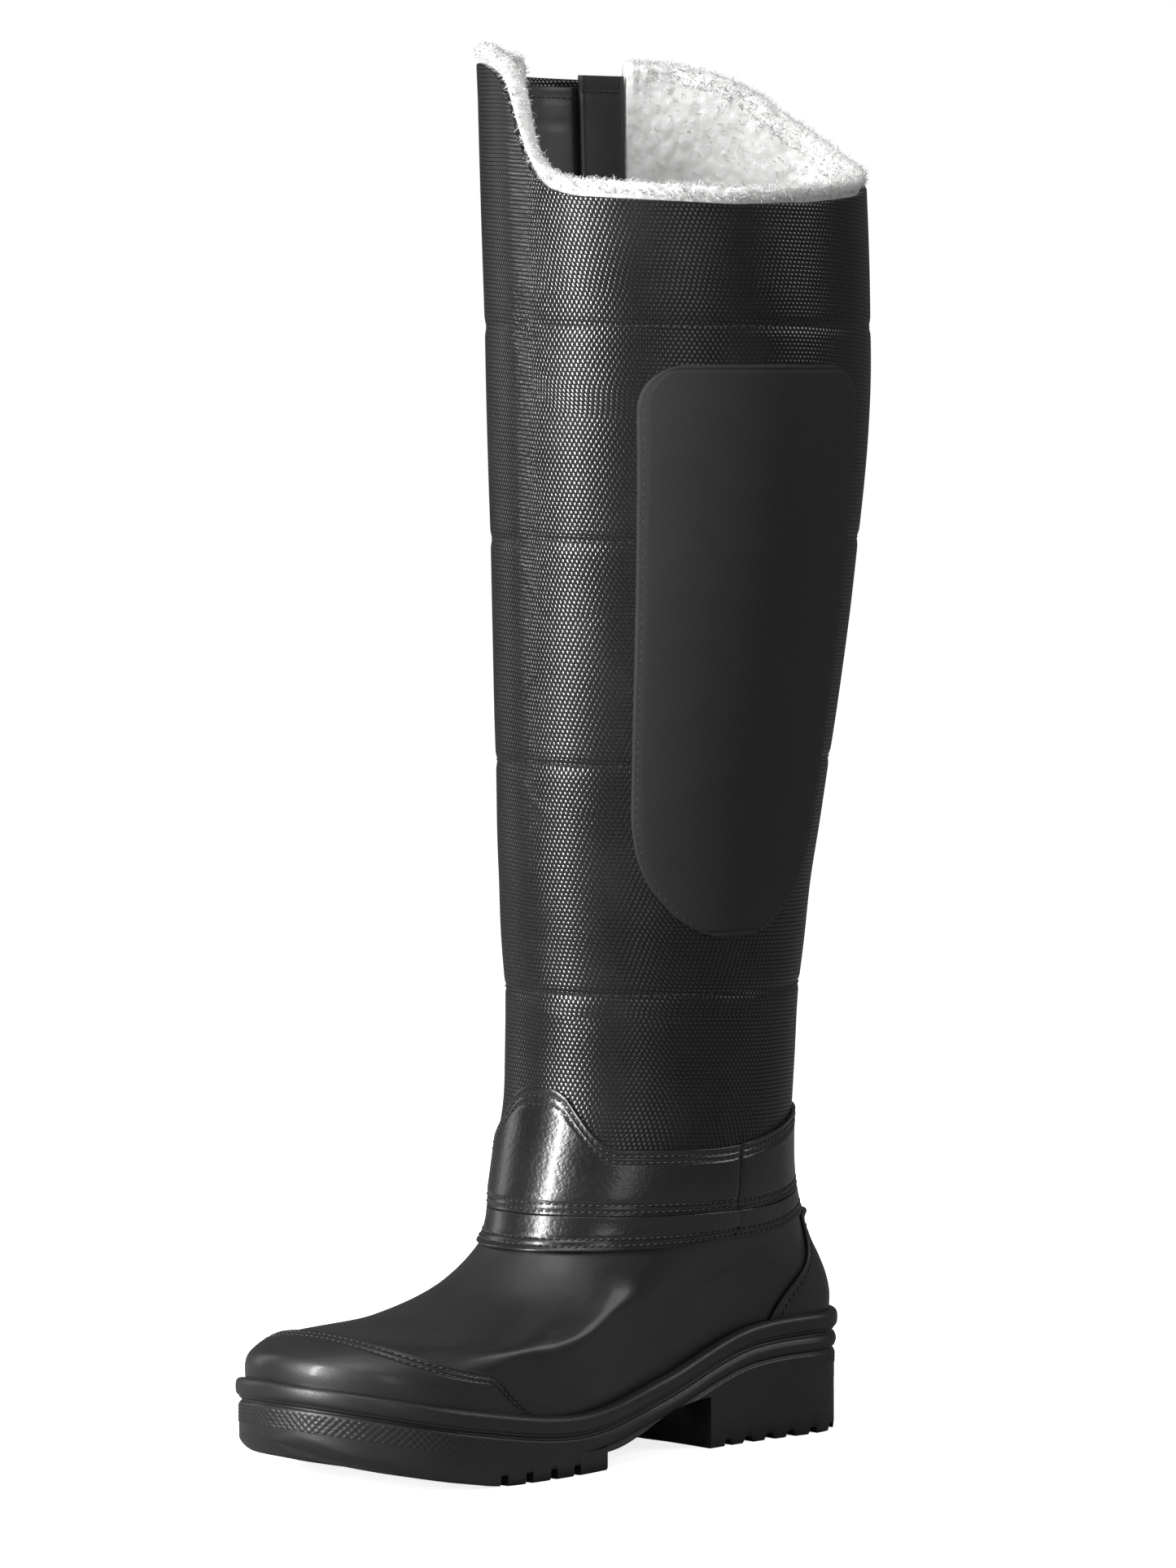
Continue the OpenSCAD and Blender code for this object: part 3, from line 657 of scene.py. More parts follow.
def creases(t, a):
    """Flex folds of the vamp, where the foot bends, on the inner and the outer side."""
    turn = (a + 180) % 360 - 180
    flex = np.exp(-((np.abs(turn) - 62) / 26) ** 2) * np.exp(-((t - 2.2) / 1.9) ** 2)
    folds = (fold(t, a, (0.9, 70), (2.9, 53), 3.4, 1.5) + fold(t, a, (4.3, 55), (3.7, 72), 2.6, 0.9)
             + fold(t, a, (3.5, 54), (3.0, 74), 3.0, 0.8) + fold(t, a, (1.4, 90), (3.2, 100), 5.0, 0.7)
             + fold(t, a, (1.0, -70), (2.8, -55), 3.6, 1.2) + fold(t, a, (4.2, -56), (3.6, -74), 3.0, 0.9)
             + fold(t, a, (2.9, -84), (3.8, -100), 4.0, 0.6))
    return folds * ease(t / 0.8) * ease((4.9 - t) / 0.5) + 0.25 * flex * np.sin(turn * 0.13 - t * 2.3 + 1)


def pebble_group():
    """Leather grain: shallow cells of two sizes and fine pores. Puts out a height and a pore mask."""
    group, ins, outs = new_group("leather_grain", [
        ("Vector", "NodeSocketVector", None), ("Scale", "NodeSocketFloat", 1.0)],
        [("Height", "NodeSocketFloat"), ("Pores", "NodeSocketFloat")])
    g = Graph(group)
    node = group.nodes.new("ShaderNodeVectorMath")
    node.operation = "SCALE"
    group.links.new(ins.outputs["Vector"], node.inputs[0])
    group.links.new(ins.outputs["Scale"], node.inputs["Scale"])
    place = node.outputs[0]
    coarse = g.cells(place, 900.0, "SMOOTH_F1")
    fine = g.cells(place, 1900.0, "SMOOTH_F1")
    cloud = g.noise(place, 260.0, 3.0)
    height = g.maths("ADD", g.maths("MULTIPLY", coarse, 0.6), g.maths("MULTIPLY", fine, 0.35))
    height = g.maths("ADD", height, g.maths("MULTIPLY", cloud, 0.5))
    group.links.new(height, outs.inputs["Height"])
    group.links.new(g.ramp(coarse, 0.45, 0.8), outs.inputs["Pores"])
    return group


leather_grain = pebble_group()


def leather(name, grain_depth, gloss, scale=1.0):
    """Polished black leather: grain in the gloss, clouds of wax, and greyer rubbed places."""
    made, nodes, links, skin = fresh_material(name)
    g = Graph(made.node_tree)
    place = nodes.new("ShaderNodeTexCoord").outputs["Object"]
    grain = nodes.new("ShaderNodeGroup")
    grain.node_tree = leather_grain
    links.new(place, grain.inputs["Vector"])
    grain.inputs["Scale"].default_value = scale
    wax = g.noise(place, 22.0, 5.0)
    rub = g.noise(place, 60.0, 6.0)
    tone = g.blend(g.ramp(wax, 0.35, 0.7), (0.0055, 0.0055, 0.0058, 1), (0.011, 0.011, 0.0113, 1))
    rubbed = g.blend(g.ramp(rub, 0.66, 0.85, 0.0, 0.6), tone, (0.018, 0.018, 0.0185, 1))
    links.new(rubbed, skin.inputs["Base Color"])
    rough = g.maths("ADD", g.ramp(wax, 0.3, 0.75, gloss, gloss + 0.07), g.ramp(rub, 0.55, 0.85, 0.0, 0.05))
    rough = g.maths("ADD", rough, g.ramp(grain.outputs["Pores"], 0, 1, 0.0, 0.06))
    links.new(rough, skin.inputs["Roughness"])
    soft = g.bump(g.noise(place, 45.0, 2.0), 0.12, 0.0010)
    links.new(g.bump(grain.outputs["Height"], grain_depth, 0.00016, soft), skin.inputs["Normal"])
    skin.inputs["Coat Weight"].default_value = 0.15
    skin.inputs["Coat Roughness"].default_value = 0.16
    return made


foot_leather = leather("foot_leather", 0.30, 0.40)
collar_leather = leather("collar_leather", 0.80, 0.24, 0.8)
edge_width = 0.45


def leather_piece(name, node, t, a, outer, inner, material, round_=False):
    """One cut piece of leather with rounded edges that stands for its CAD node."""
    piece = soften(shell_of(name, t, a, outer, inner, round_), edge_width)
    piece.data.materials.append(material)
    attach(piece, "boot")
    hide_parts(node)
    return piece


def ditch(distance, deep=0.4, wide=0.65):
    """The groove that a row of stitches pulls into leather, from the distance to it in millimetres."""
    return deep * np.exp(-(distance / wide) ** 2)


u, v = np.meshgrid(np.linspace(0, 1, 140), np.linspace(0, 1, 340, endpoint=False), indexing="ij")
t, a = mix(0, 5.5, u), 360 * v
leather_piece("vamp_leather", "vamp", t, a, creases(t, a), leather_thick, foot_leather, True)

u, v = np.meshgrid(np.linspace(0, 1, 70), np.linspace(0, 1, 200), indexing="ij")
a = mix(-71, 71, v)
t = mix(0.02, toe_seam(a), u)
edge_mm = (1 - u) * toe_seam(a) * 17
groove = ditch(edge_mm - 2.0) + ditch(edge_mm - 4.4)
leather_piece("toe_cap_leather", "toe_cap", t, a, -layer_gap - leather_thick + groove + creases(t, a),
              -layer_gap + creases(t, a), foot_leather)
row_a = np.linspace(-67, 67, 500)
for number, away in enumerate((2.0, 4.4)):
    seam("toe_cap_stitches_%d" % (number + 1), toe_seam(row_a) - away / 17, row_a, leather_thick - 0.1)

u, v = np.meshgrid(np.linspace(0, 1, 70), np.linspace(0, 1, 110), indexing="ij")
t = mix(0.02, 5.05, u)
half = counter_half(t)
a = 180 + half * (2 * v - 1)
edge_mm = (1 - np.abs(2 * v - 1)) * half * 0.62
leather_piece("heel_counter_leather", "heel_counter", t, a,
              -layer_gap - leather_thick + ditch(edge_mm - 2.0), -layer_gap + 0 * t, foot_leather)
row_t = np.linspace(0.15, 4.75, 300)
for number, side in enumerate((-1, 1)):
    seam("heel_counter_stitches_%d" % (number + 1), row_t, 180 + side * (counter_half(row_t) - 3.2),
         leather_thick - 0.1)

u, v = np.meshgrid(np.linspace(0, 1, 24), np.linspace(0, 1, 400, endpoint=False), indexing="ij")
a = 360 * v
t = mix(band_foot(a), band_top(a) + 0.02, u)
lap_mm = u * (band_top(a) - band_foot(a)) * 15
groove = ditch(lap_mm - 1.6) + ditch(lap_mm - 3.8)
groove = groove + 0.35 * np.exp(-((a - mix(-107, 253, seam_v)) / 0.8) ** 2)
leather_piece("ankle_band_leather", "ankle_band", t, a, -layer_gap - leather_thick + groove,
              -layer_gap + 0 * t, collar_leather, True)
row_a = np.linspace(0, 360, 900)
for number, away in enumerate((1.6, 3.8)):
    seam("band_stitches_%d" % (number + 1), band_foot(row_a) + away / 15, row_a, leather_thick - 0.1)


def collar(name, node, v0, v1, count):
    """One collar piece between two shares of the way round, with two grooved rows at its top edge
    and two at its foot."""
    u, v = np.meshgrid(np.linspace(0, 1, 64), np.linspace(v0, v1, count), indexing="ij")
    nominal = mix(-107, 253, v)
    low, high = band_top(nominal) + 0.03, slice_at(collar_z(nominal))
    t = mix(low, high, u)
    z = mix(91, collar_z(nominal), u)
    a = open_angle(z, v, zip_gap / 2, zip_gap / 2)
    up_mm = u * (high - low) * 16
    down_mm = (1 - u) * (high - low) * 16
    groove = ditch(down_mm - 2) + ditch(down_mm - 4.2) + ditch(up_mm - 1.3) + ditch(up_mm - 3.5)
    side_mm = np.minimum(v - v0, v1 - v) * 330
    groove = groove + 0.35 * np.exp(-(side_mm / 0.8) ** 2)
    leather_piece(name, node, t, a, -layer_gap - leather_thick + groove, -layer_gap + 0 * t, collar_leather)
    rows = np.linspace(v0 + 0.006, v1 - 0.006, 600)
    nominal = mix(-107, 253, rows)
    low, high = band_top(nominal) + 0.03, slice_at(collar_z(nominal))
    for number, t_row in enumerate((high - 2 / 16, high - 4.2 / 16, low + 1.3 / 16, low + 3.5 / 16)):
        share = (t_row - low) / (high - low)
        z = mix(91, collar_z(nominal), share)
        seam("%s_stitches_%d" % (name, number + 1), t_row, open_angle(z, rows, zip_gap / 2, zip_gap / 2),
             leather_thick - 0.1)


collar("collar_front_leather", "collar_front", 0.0, seam_v, 330)
collar("collar_rear_leather", "collar_rear", seam_v + 0.001, 1.0, 260)

# Grip patch. A smooth matte pad on the inner side of the calf, edge stitched a little inside its
# rim. It is an upright oval strip, blunt above and rounder below.
patch_low, patch_high, patch_thick = 188.0, 396.0, 1.1


def patch_outline(z):
    """Front and back angle of the patch at a height: straight sides that close over a corner
    radius at each end, as one less the root of one less a square."""
    share = (z - patch_low) / (patch_high - patch_low)
    front, back = mix(43, 37, share), mix(124, 115, share)
    low = 1 - np.sqrt(np.maximum(0, 1 - (1 - np.clip((z - patch_low) / 50, 0, 1)) ** 2.4))
    high = 1 - np.sqrt(np.maximum(0, 1 - (1 - np.clip((patch_high - z) / 22, 0, 1)) ** 2.4))
    half = (back - front) / 2 * (1 - low - 0.42 * high)
    return (front + back) / 2, half


def patch_ring(inset, count):
    """Closed outline of the patch, inset millimetres inside its rim."""
    rise = mix(patch_low + inset, patch_high - inset, 0.5 - 0.5 * np.cos(np.linspace(0, math.pi, count)))
    z = np.concatenate([rise, rise[::-1]])
    middle, half = patch_outline(z)
    side = np.where(np.arange(2 * count) < count, 1.0, -1.0)
    return z, middle + side * np.maximum(half - inset / 1.05, 0)


u, v = np.meshgrid(0.5 - 0.5 * np.cos(np.linspace(0, math.pi, 200)), np.linspace(-1, 1, 90), indexing="ij")
z = mix(patch_low, patch_high, u)
middle, half = patch_outline(z)
rim_mm = np.minimum((1 - np.abs(v)) * half * 1.05, np.minimum(z - patch_low, patch_high - z))
dome = patch_thick - 0.7 * np.exp(-(rim_mm / 0.8) ** 2) - 0.35 * np.exp(-((rim_mm - 2.2) / 0.6) ** 2)
patch = shell_of("grip_patch_pad", slice_at(z), middle + v * half, -0.05 - dome, -0.05)
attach(patch, "boot")
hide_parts("grip_patch")


def grip_pad():
    """Matte grip fabric: a very fine nap, slightly greyer than the shaft, rubbed in faint clouds."""
    made, nodes, links, skin = fresh_material("grip_pad")
    g = Graph(made.node_tree)
    place = nodes.new("ShaderNodeTexCoord").outputs["Object"]
    cloud = g.noise(place, 30.0, 5.0)
    nap = g.noise(place, 1500.0, 3.0)
    tone = g.blend(cloud, (0.010, 0.010, 0.0103, 1), (0.016, 0.016, 0.0163, 1))
    links.new(tone, skin.inputs["Base Color"])
    links.new(g.ramp(nap, 0.3, 0.7, 0.62, 0.78), skin.inputs["Roughness"])
    links.new(g.bump(nap, 0.5, 0.00012), skin.inputs["Normal"])
    skin.inputs["Specular IOR Level"].default_value = 0.35
    return made


patch.data.materials.append(grip_pad())
z, a = patch_ring(2.2, 400)
seam("grip_patch_stitches", slice_at(z), a, 0.6, 3.3, slot="grip_fabric")

# Sole. One moulded black rubber unit: a rand that laps the foot, a grooved midsole wall with a
# knurled band round the toe, a lugged forefoot tread and a separate lugged heel.
rand_out = 5.0
toe_spring, heel_height, lug_deep, lug_pitch, lug_slot = 17.0, 19.0, 5.0, 12.0, 3.4
fore_end, heel_front = -66.0, -3.0


def foot_plan(a, off):
    """Plan outline of the foot, moved outwards by off: the feather line plus its level normal."""
    a, off = np.broadcast_arrays(np.asarray(a, float), np.asarray(off, float))
    point = boot_point(0 * a, a)
    d = boot_point(0 * a, a + 2) - boot_point(0 * a, a - 2)
    n = np.stack([d[..., 1], -d[..., 0]], -1) / np.linalg.norm(d[..., :2], axis=-1, keepdims=True)
    return np.concatenate([point[..., :2] + off[..., None] * n, point[..., 2:]], -1)


def ground(y):
    """Underside of the forefoot: flat at the ball, rising to the toe as a power of the distance."""
    return toe_spring * np.maximum(0, (-112 - y) / 74) ** 1.7


def belly(y):
    """Top of the tread and underside of the arch: a smooth rise from the forefoot to the heel."""
    arch = mix(6.5, heel_height, ease((y - fore_end) / (heel_front - fore_end)))
    return np.where(y < fore_end, ground(y) + lug_deep + 1.5, np.where(y < heel_front, arch, heel_height))


def ring_loft(name, a, off, height):
    """A closed loft round the foot plan. off and height hold one row for each point of the
    section and one column for each angle; the section is a closed loop."""
    a, off, height = np.broadcast_arrays(a, off, height)
    points = foot_plan(a, off)
    points[..., 2] = height
    rows, cols = off.shape
    i, j = np.arange(rows)[:, None], np.arange(cols)[None, :]
    i2, j2 = (i + 1) % rows, (j + 1) % cols
    faces = np.stack([i * cols + j, i2 * cols + j, i2 * cols + j2, i * cols + j2], -1).reshape(-1, 4)
    return put(name, points.reshape(-1, 3), faces)


def moulded_rubber():
    """Moulded rubber: satin skin with a fine stipple, scuffed paler and duller near the ground."""
    made, nodes, links, skin = fresh_material("moulded_rubber")
    g = Graph(made.node_tree)
    place = nodes.new("ShaderNodeTexCoord").outputs["Object"]
    height = g.split(place)[2]
    stipple = g.noise(place, 1400.0, 2.0)
    cloud = g.noise(place, 40.0, 6.0)
    low = g.maths("MULTIPLY", g.ramp(height, 0.012, 0.0, 0.0, 0.8), g.ramp(cloud, 0.35, 0.7))
    tone = g.blend(cloud, (0.007, 0.007, 0.0073, 1), (0.012, 0.012, 0.0123, 1))
    links.new(g.blend(low, tone, (0.022, 0.0215, 0.021, 1)), skin.inputs["Base Color"])
    rough = g.maths("ADD", g.ramp(stipple, 0.3, 0.7, 0.36, 0.5), g.maths("MULTIPLY", low, 0.25))
    links.new(rough, skin.inputs["Roughness"])
    links.new(g.bump(stipple, 0.22, 0.00018), skin.inputs["Normal"])
    return made


rubber = moulded_rubber()


def rubber_piece(piece, node, edge=0.5):
    soften(piece, edge)
    piece.data.materials.append(rubber)
    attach(piece, "boot")
    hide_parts(node)
    return piece


plan_a = np.linspace(0, 360, 720, endpoint=False)
lip_turn = np.linspace(0, 2 * math.pi, 28, endpoint=False)
seam_z = boot_point(0 * plan_a, plan_a)[:, 2]
lip_off = 2.55 + 2.45 * np.sign(np.cos(lip_turn)) * np.abs(np.cos(lip_turn)) ** 0.7
lip_up = -0.6 + 3.3 * np.sign(np.sin(lip_turn)) * np.abs(np.sin(lip_turn)) ** 0.7
lip_z = lip_up[:, None] + seam_z[None]
rubber_piece(ring_loft("sole_rand", plan_a[None], lip_off[:, None] + 0 * plan_a, lip_z),
             "rand", 0.1)

wall_rows = 90
wall_u = np.linspace(0, 1, wall_rows)[:, None]
plan_xy = foot_plan(plan_a, rand_out - 1.2)
wall_low = np.minimum(belly(plan_xy[:, 1]), seam_z - 8)[None]
wall_high = seam_z[None] - 3.0
wall_z = mix(wall_low, wall_high, wall_u)
down = wall_high - wall_z
toe_share = ease((-105 - plan_xy[:, 1]) / 20)[None]
heel_share = ease((plan_xy[:, 1] - 42) / 12)[None]
rear_share = ease((plan_xy[:, 1] + 95) / 40)[None]
grooves = 1.0 * np.exp(-((down - 2.2) / 0.7) ** 2) + 0.9 * np.exp(-((down - 8.6) / 0.7) ** 2) * rear_share
run_mm = np.concatenate([[0], np.cumsum(np.linalg.norm(np.diff(plan_xy[:, :2], axis=0), axis=1))])[None]
diamond = np.abs(np.sin((run_mm + down) * 1.15)) + np.abs(np.sin((run_mm - down) * 1.15))
band = ease((down - 3.4) / 0.8) * ease((10.5 - down) / 0.8)
heel_band = ease((down - 9.6) / 0.8) * ease((14.5 - down) / 0.8)
knurl = 0.32 * (diamond - 1.0) * np.maximum(band * toe_share, heel_band * heel_share * 0.9)
swell = 0.7 * np.exp(-((down - 5.4) / 1.7) ** 2) * rear_share
wall_off = rand_out - 1.2 - grooves + knurl + swell
plan_mid = 0.5 * (plan_xy[:, 0] + np.roll(plan_xy[::-1, 0], 1))


def pinched(name, off, height, low, high):
    """A closed body round the foot plan. Its wall has one row per off and height; the top and
    the underside run in from the wall to the middle line, as the outline drawn in across."""
    wall = foot_plan(np.broadcast_to(plan_a, off.shape), off)
    wall[..., 2] = height
    def drawn(edge, z, shares):
        rows = np.repeat(edge[None], len(shares), 0)
        rows[..., 0] = plan_mid + (edge[:, 0] - plan_mid) * np.asarray(shares)[:, None]
        rows[..., 2] = z + 0 * rows[..., 2]
        return rows
    shares = np.array([0.97, 0.9, 0.75, 0.5, 0.25, 0.0])
    rows = np.concatenate([drawn(wall[0], low, shares[::-1]), wall, drawn(wall[-1], high, shares)])
    n, cols = rows.shape[:2]
    piece = put(name, rows.reshape(-1, 3), lattice(n, cols, True))
    return merged(piece)


def merged(piece, reach=0.01):
    """Joins the points that lie within reach millimetres of each other and drops empty faces."""
    work = bmesh.new()
    work.from_mesh(piece.data)
    bmesh.ops.remove_doubles(work, verts=work.verts, dist=reach * 0.001)
    bmesh.ops.dissolve_degenerate(work, edges=work.edges, dist=reach * 0.0001)
    work.to_mesh(piece.data)
    work.free()
    return piece


wall_foot = np.minimum(belly(plan_xy[:, 1]), seam_z - 8)
rubber_piece(pinched("sole_wall", wall_off, wall_z, wall_foot, seam_z - 3.0),
             "midsole", 0.0001)


def tread(name, node, y, sole, slot, high, off, chevron, plain_from=-999.0):
    """Lugged rubber from a loft along the foot. Each section is a box as wide as the foot plan,
    with chamfered lower edges. slot(y) steps the underside up between the lugs, and ahead of
    plain_from it stops 9 mm short of the edge. The underside is sheared into a chevron."""
    half = (heel_y - toe_y) / 2
    turn = np.degrees(np.arccos(np.clip(1 - (y - toe_y) / half, -1, 1)))
    right, left = foot_plan(turn, off), foot_plan(-turn, off)
    across = np.concatenate([np.linspace(-1, 1, 33), [1, 1, 1], np.linspace(1, -1, 9), [-1, -1, -1]])
    side = np.zeros(len(across))
    side[33:36] = [0.12, 0.5, 0.9]
    side[36:45] = 1
    side[45:] = [0.9, 0.5, 0.12]
    tuck = np.zeros(len(across))
    tuck[[0, 32]] = 1
    x = mix(left[:, None, 0], right[:, None, 0], (across * (1 - 0.012 * tuck) + 1) / 2)
    base = mix(left[:, None, 1], right[:, None, 1], (across + 1) / 2)
    point_y = base + chevron * (np.abs(across) - 1) * (side == 0) * np.clip(np.abs(x) / 20, 0, 1)
    to_edge = np.minimum(right[:, None, 0] - x, x - left[:, None, 0])
    cut = mix(1.0, ease((to_edge - 7.5) / 1.5), ease((plain_from - y) / 2)[:, None])
    ahead = ease((-122 - y) / 45)[:, None]
    tip = ease((-166 - y) / 15)[:, None]
    lift = 3.2 * ahead * np.clip((8.0 - to_edge) / 8.0, 0, 1) ** 2 + 2.6 * tip ** 2
    under = sole(y)[:, None] + slot(y)[:, None] * cut + lift
    z = mix(under, high(y)[:, None], side)
    points = np.stack([x, point_y, z], -1)
    rows, cols = x.shape
    piece = put(name, points.reshape(-1, 3), lattice(rows, cols, True))
    work = bmesh.new()
    work.from_mesh(piece.data)
    bmesh.ops.holes_fill(work, edges=work.edges)
    bmesh.ops.recalc_face_normals(work, faces=work.faces)
    work.to_mesh(piece.data)
    work.free()
    soften(piece, 0.35)
    piece.data.materials.append(rubber)
    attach(piece, "boot")
    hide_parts(node)
    return piece


def with_slots(y, slots, width):
    """Adds a close pair of samples at both edges of every slot."""
    edges = np.concatenate([[s + k * width / 2 - 0.06, s + k * width / 2 + 0.06]
                            for s in slots for k in (-1, 1)])
    return np.unique(np.concatenate([y, edges]))


def slot_depth(y, slots, width, deep):
    return deep * (np.abs(y[:, None] - np.asarray(slots)).min(1) < width / 2)


fore_slots = [fore_end - 17 - k * lug_pitch for k in range(8)]
fore_y = toe_y + (fore_end - toe_y) * (1 - np.cos(np.linspace(0.05, math.pi / 2, 70)))
fore_y = with_slots(fore_y, [s for s in fore_slots if s > toe_y + 3], lug_slot)
tread("forefoot_tread", "outsole", fore_y, ground, lambda y: slot_depth(y, fore_slots, lug_slot, 3.5),
      lambda y: ground(y) + lug_deep + 3.0, rand_out - 1.25, 3.0, -122.0)

heel_slots = [heel_front + 10 + k * (lug_pitch - 1) for k in range(6)]
heel_run = heel_front + (heel_y - heel_front) * np.sin(np.linspace(0, math.pi / 2 - 0.05, 60))
heel_run = with_slots(heel_run, [s for s in heel_slots if s < heel_y - 3], lug_slot - 1)
tread("heel_tread", "heel_block", heel_run, lambda y: 2.4 * np.clip((y - 60) / 15, 0, 1) ** 1.5,
      lambda y: slot_depth(y, heel_slots, lug_slot, 2.4), lambda y: heel_height + 2.0 + 0 * y,
      rand_out - 1.25, -2.5)

# Fleece. A thick white pile lining fills the shaft and stands a little above its top edge. Its
# inner face is a crowd of small curls; loose tufts stand off the rim and the upper wall.
lining_out, fleece_deep, fleece_rise, lining_front, lining_rear = 2.6, 6.0, 4.0, 42.0, 11.5
curl_seed = np.random.default_rng(11)


def curls(x, y, size, seed):
    """Crowded soft lumps on a plane in millimetres: the nearest of one jittered point in each
    cell, made into a dome by one less the square of its distance."""
    cx, cy = np.floor(x / size), np.floor(y / size)
    best = np.full(x.shape, 9.0)
    for i in (-1, 0, 1):
        for j in (-1, 0, 1):
            gx, gy = cx + i, cy + j
            r1 = np.modf(np.abs(np.sin(gx * 12.9898 + gy * 78.233 + seed) * 43758.5453))[0]
            r2 = np.modf(np.abs(np.sin(gx * 39.3467 + gy * 11.135 + seed) * 24634.6345))[0]
            px, py = (gx + 0.15 + 0.7 * r1) * size, (gy + 0.15 + 0.7 * r2) * size
            best = np.minimum(best, ((x - px) ** 2 + (y - py) ** 2) / size ** 2)
    return np.sqrt(np.maximum(0, 1 - best * 0.85))


def pile(run, z):
    """Depth of the pile at a place: big curls, small curls between them, and slow swells."""
    sway = run + 1.6 * np.sin(z * 0.21 + run * 0.05)
    return (2.9 * curls(sway, z, 7.4, 1.0) + 1.3 * curls(run + 0.7 * np.sin(z * 0.9), z, 2.9, 4.0)
            + 1.0 * np.sin(run * 0.11 + 1) * np.sin(z * 0.13 + run * 0.03) - 3.4)


def fleece():
    """White fleece: painted shade that keeps the curl tops bright and makes the hollows between them greyer
    and warmer, and a soft felted bloom.
    """
    made, nodes, links, skin = fresh_material("white_fleece")
    g = Graph(made.node_tree)
    place = nodes.new("ShaderNodeTexCoord").outputs["Object"]
    tuft = g.cells(place, 300.0, "SMOOTH_F1")
    fibre = g.noise(place, 1700.0, 5.0, 0.7)
    cloud = g.noise(place, 60.0, 4.0)
    # Painted shade: the cell distance that raises the curls in the bump also greys and warms their hollows.
    tone = g.blend(g.ramp(tuft, 0.15, 0.75), (0.97, 0.97, 0.965, 1), (0.76, 0.755, 0.74, 1))
    shaded = g.blend(g.ramp(cloud, 0.42, 0.75, 0.0, 0.65), tone, (0.78, 0.775, 0.76, 1))
    links.new(shaded, skin.inputs["Base Color"])
    links.new(g.ramp(fibre, 0.3, 0.7, 0.85, 1.0), skin.inputs["Roughness"])
    rough = g.bump(fibre, 0.7, 0.0006)
    links.new(g.bump(g.maths("SUBTRACT", 1.0, tuft), 0.6, 0.0011, rough), skin.inputs["Normal"])
    skin.inputs["Sheen Weight"].default_value = 0.5
    skin.inputs["Sheen Roughness"].default_value = 0.6
    skin.inputs["Specular IOR Level"].default_value = 0.15
    return made


white_fleece = fleece()


def lining_point(share_v, z, depth):
    """A point of the shaft lining: v runs round from one side of the zip to the other."""
    return inside(slice_at(z), open_angle(z, share_v, lining_front, lining_rear), depth)


cols = 420
around = np.linspace(0, 1, cols)
rim_z = top_z(open_angle(480.0 + 0 * around, around, lining_front, lining_rear)) + fleece_rise - 3.6
drop = np.concatenate([np.linspace(0, 96, 104), np.linspace(101, 400, 30)])
arc = np.linspace(math.pi, 0, 16)[1:-1]
down_z = np.maximum(rim_z[None] - drop[:, None] * (rim_z[None] - 92) / 400, 92)
down_z[:104] = rim_z[None] - drop[:104, None]
down_z[104:] = mix(down_z[103], 92 + 0 * around, np.linspace(1 / 30, 1, 30)[:, None])
run = around * 400
wool = pile(run[None] + 0 * down_z, down_z)
edge_fade = ease(np.minimum(around, 1 - around) * 400 / 3)[None]
inner_depth = lining_out + fleece_deep + wool * edge_fade
crown = inner_depth[0] - lining_out
flat_depth = lining_out + crown[None] * (0.5 - 0.5 * np.cos(arc[:, None]))
puff_high = 2.4 * curls(run[None] + 0 * flat_depth, flat_depth * 1.3, 4.6, 2.0) + 0.8 * curls(
    run[None] + 0 * flat_depth, flat_depth * 1.3 + 3, 2.2, 6.0) - 1.0
ring_z = rim_z[None] + (3.6 + puff_high) * np.sin(arc[:, None]) ** 0.8
over_edge = (2.9 + 1.1 * puff_high) * np.sin(arc[:, None]) ** 0.9 * (0.5 + 0.5 * np.cos(arc[:, None]))
ring_depth = flat_depth - over_edge * ease(np.minimum(around, 1 - around) * 400 / 6)[None]
skirt_z = mix(rim_z[None], 92.0, np.linspace(0, 1, 14)[::-1][:, None])
z_all = np.concatenate([skirt_z, ring_z[::-1], down_z])
depth_all = np.concatenate([lining_out + 0 * skirt_z, ring_depth[::-1], inner_depth])
points = lining_point(around[None] + 0 * z_all, z_all, depth_all)
rows = len(z_all)
quads = [lattice(rows, cols, False)]
n = np.arange(cols - 1)
quads.append(np.stack([n + 1, n, (rows - 1) * cols + n, (rows - 1) * cols + n + 1], -1))
lining = put("shaft_lining_fleece", points.reshape(-1, 3), np.concatenate(quads))
work = bmesh.new()
work.from_mesh(lining.data)
bmesh.ops.holes_fill(work, edges=[e for e in work.edges if e.is_boundary])
bmesh.ops.triangulate(work, faces=[f for f in work.faces if len(f.verts) > 4])
bmesh.ops.recalc_face_normals(work, faces=work.faces)
work.to_mesh(lining.data)
work.free()
lining.data.materials.append(white_fleece)
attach(lining, "boot")
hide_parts("shaft_lining")


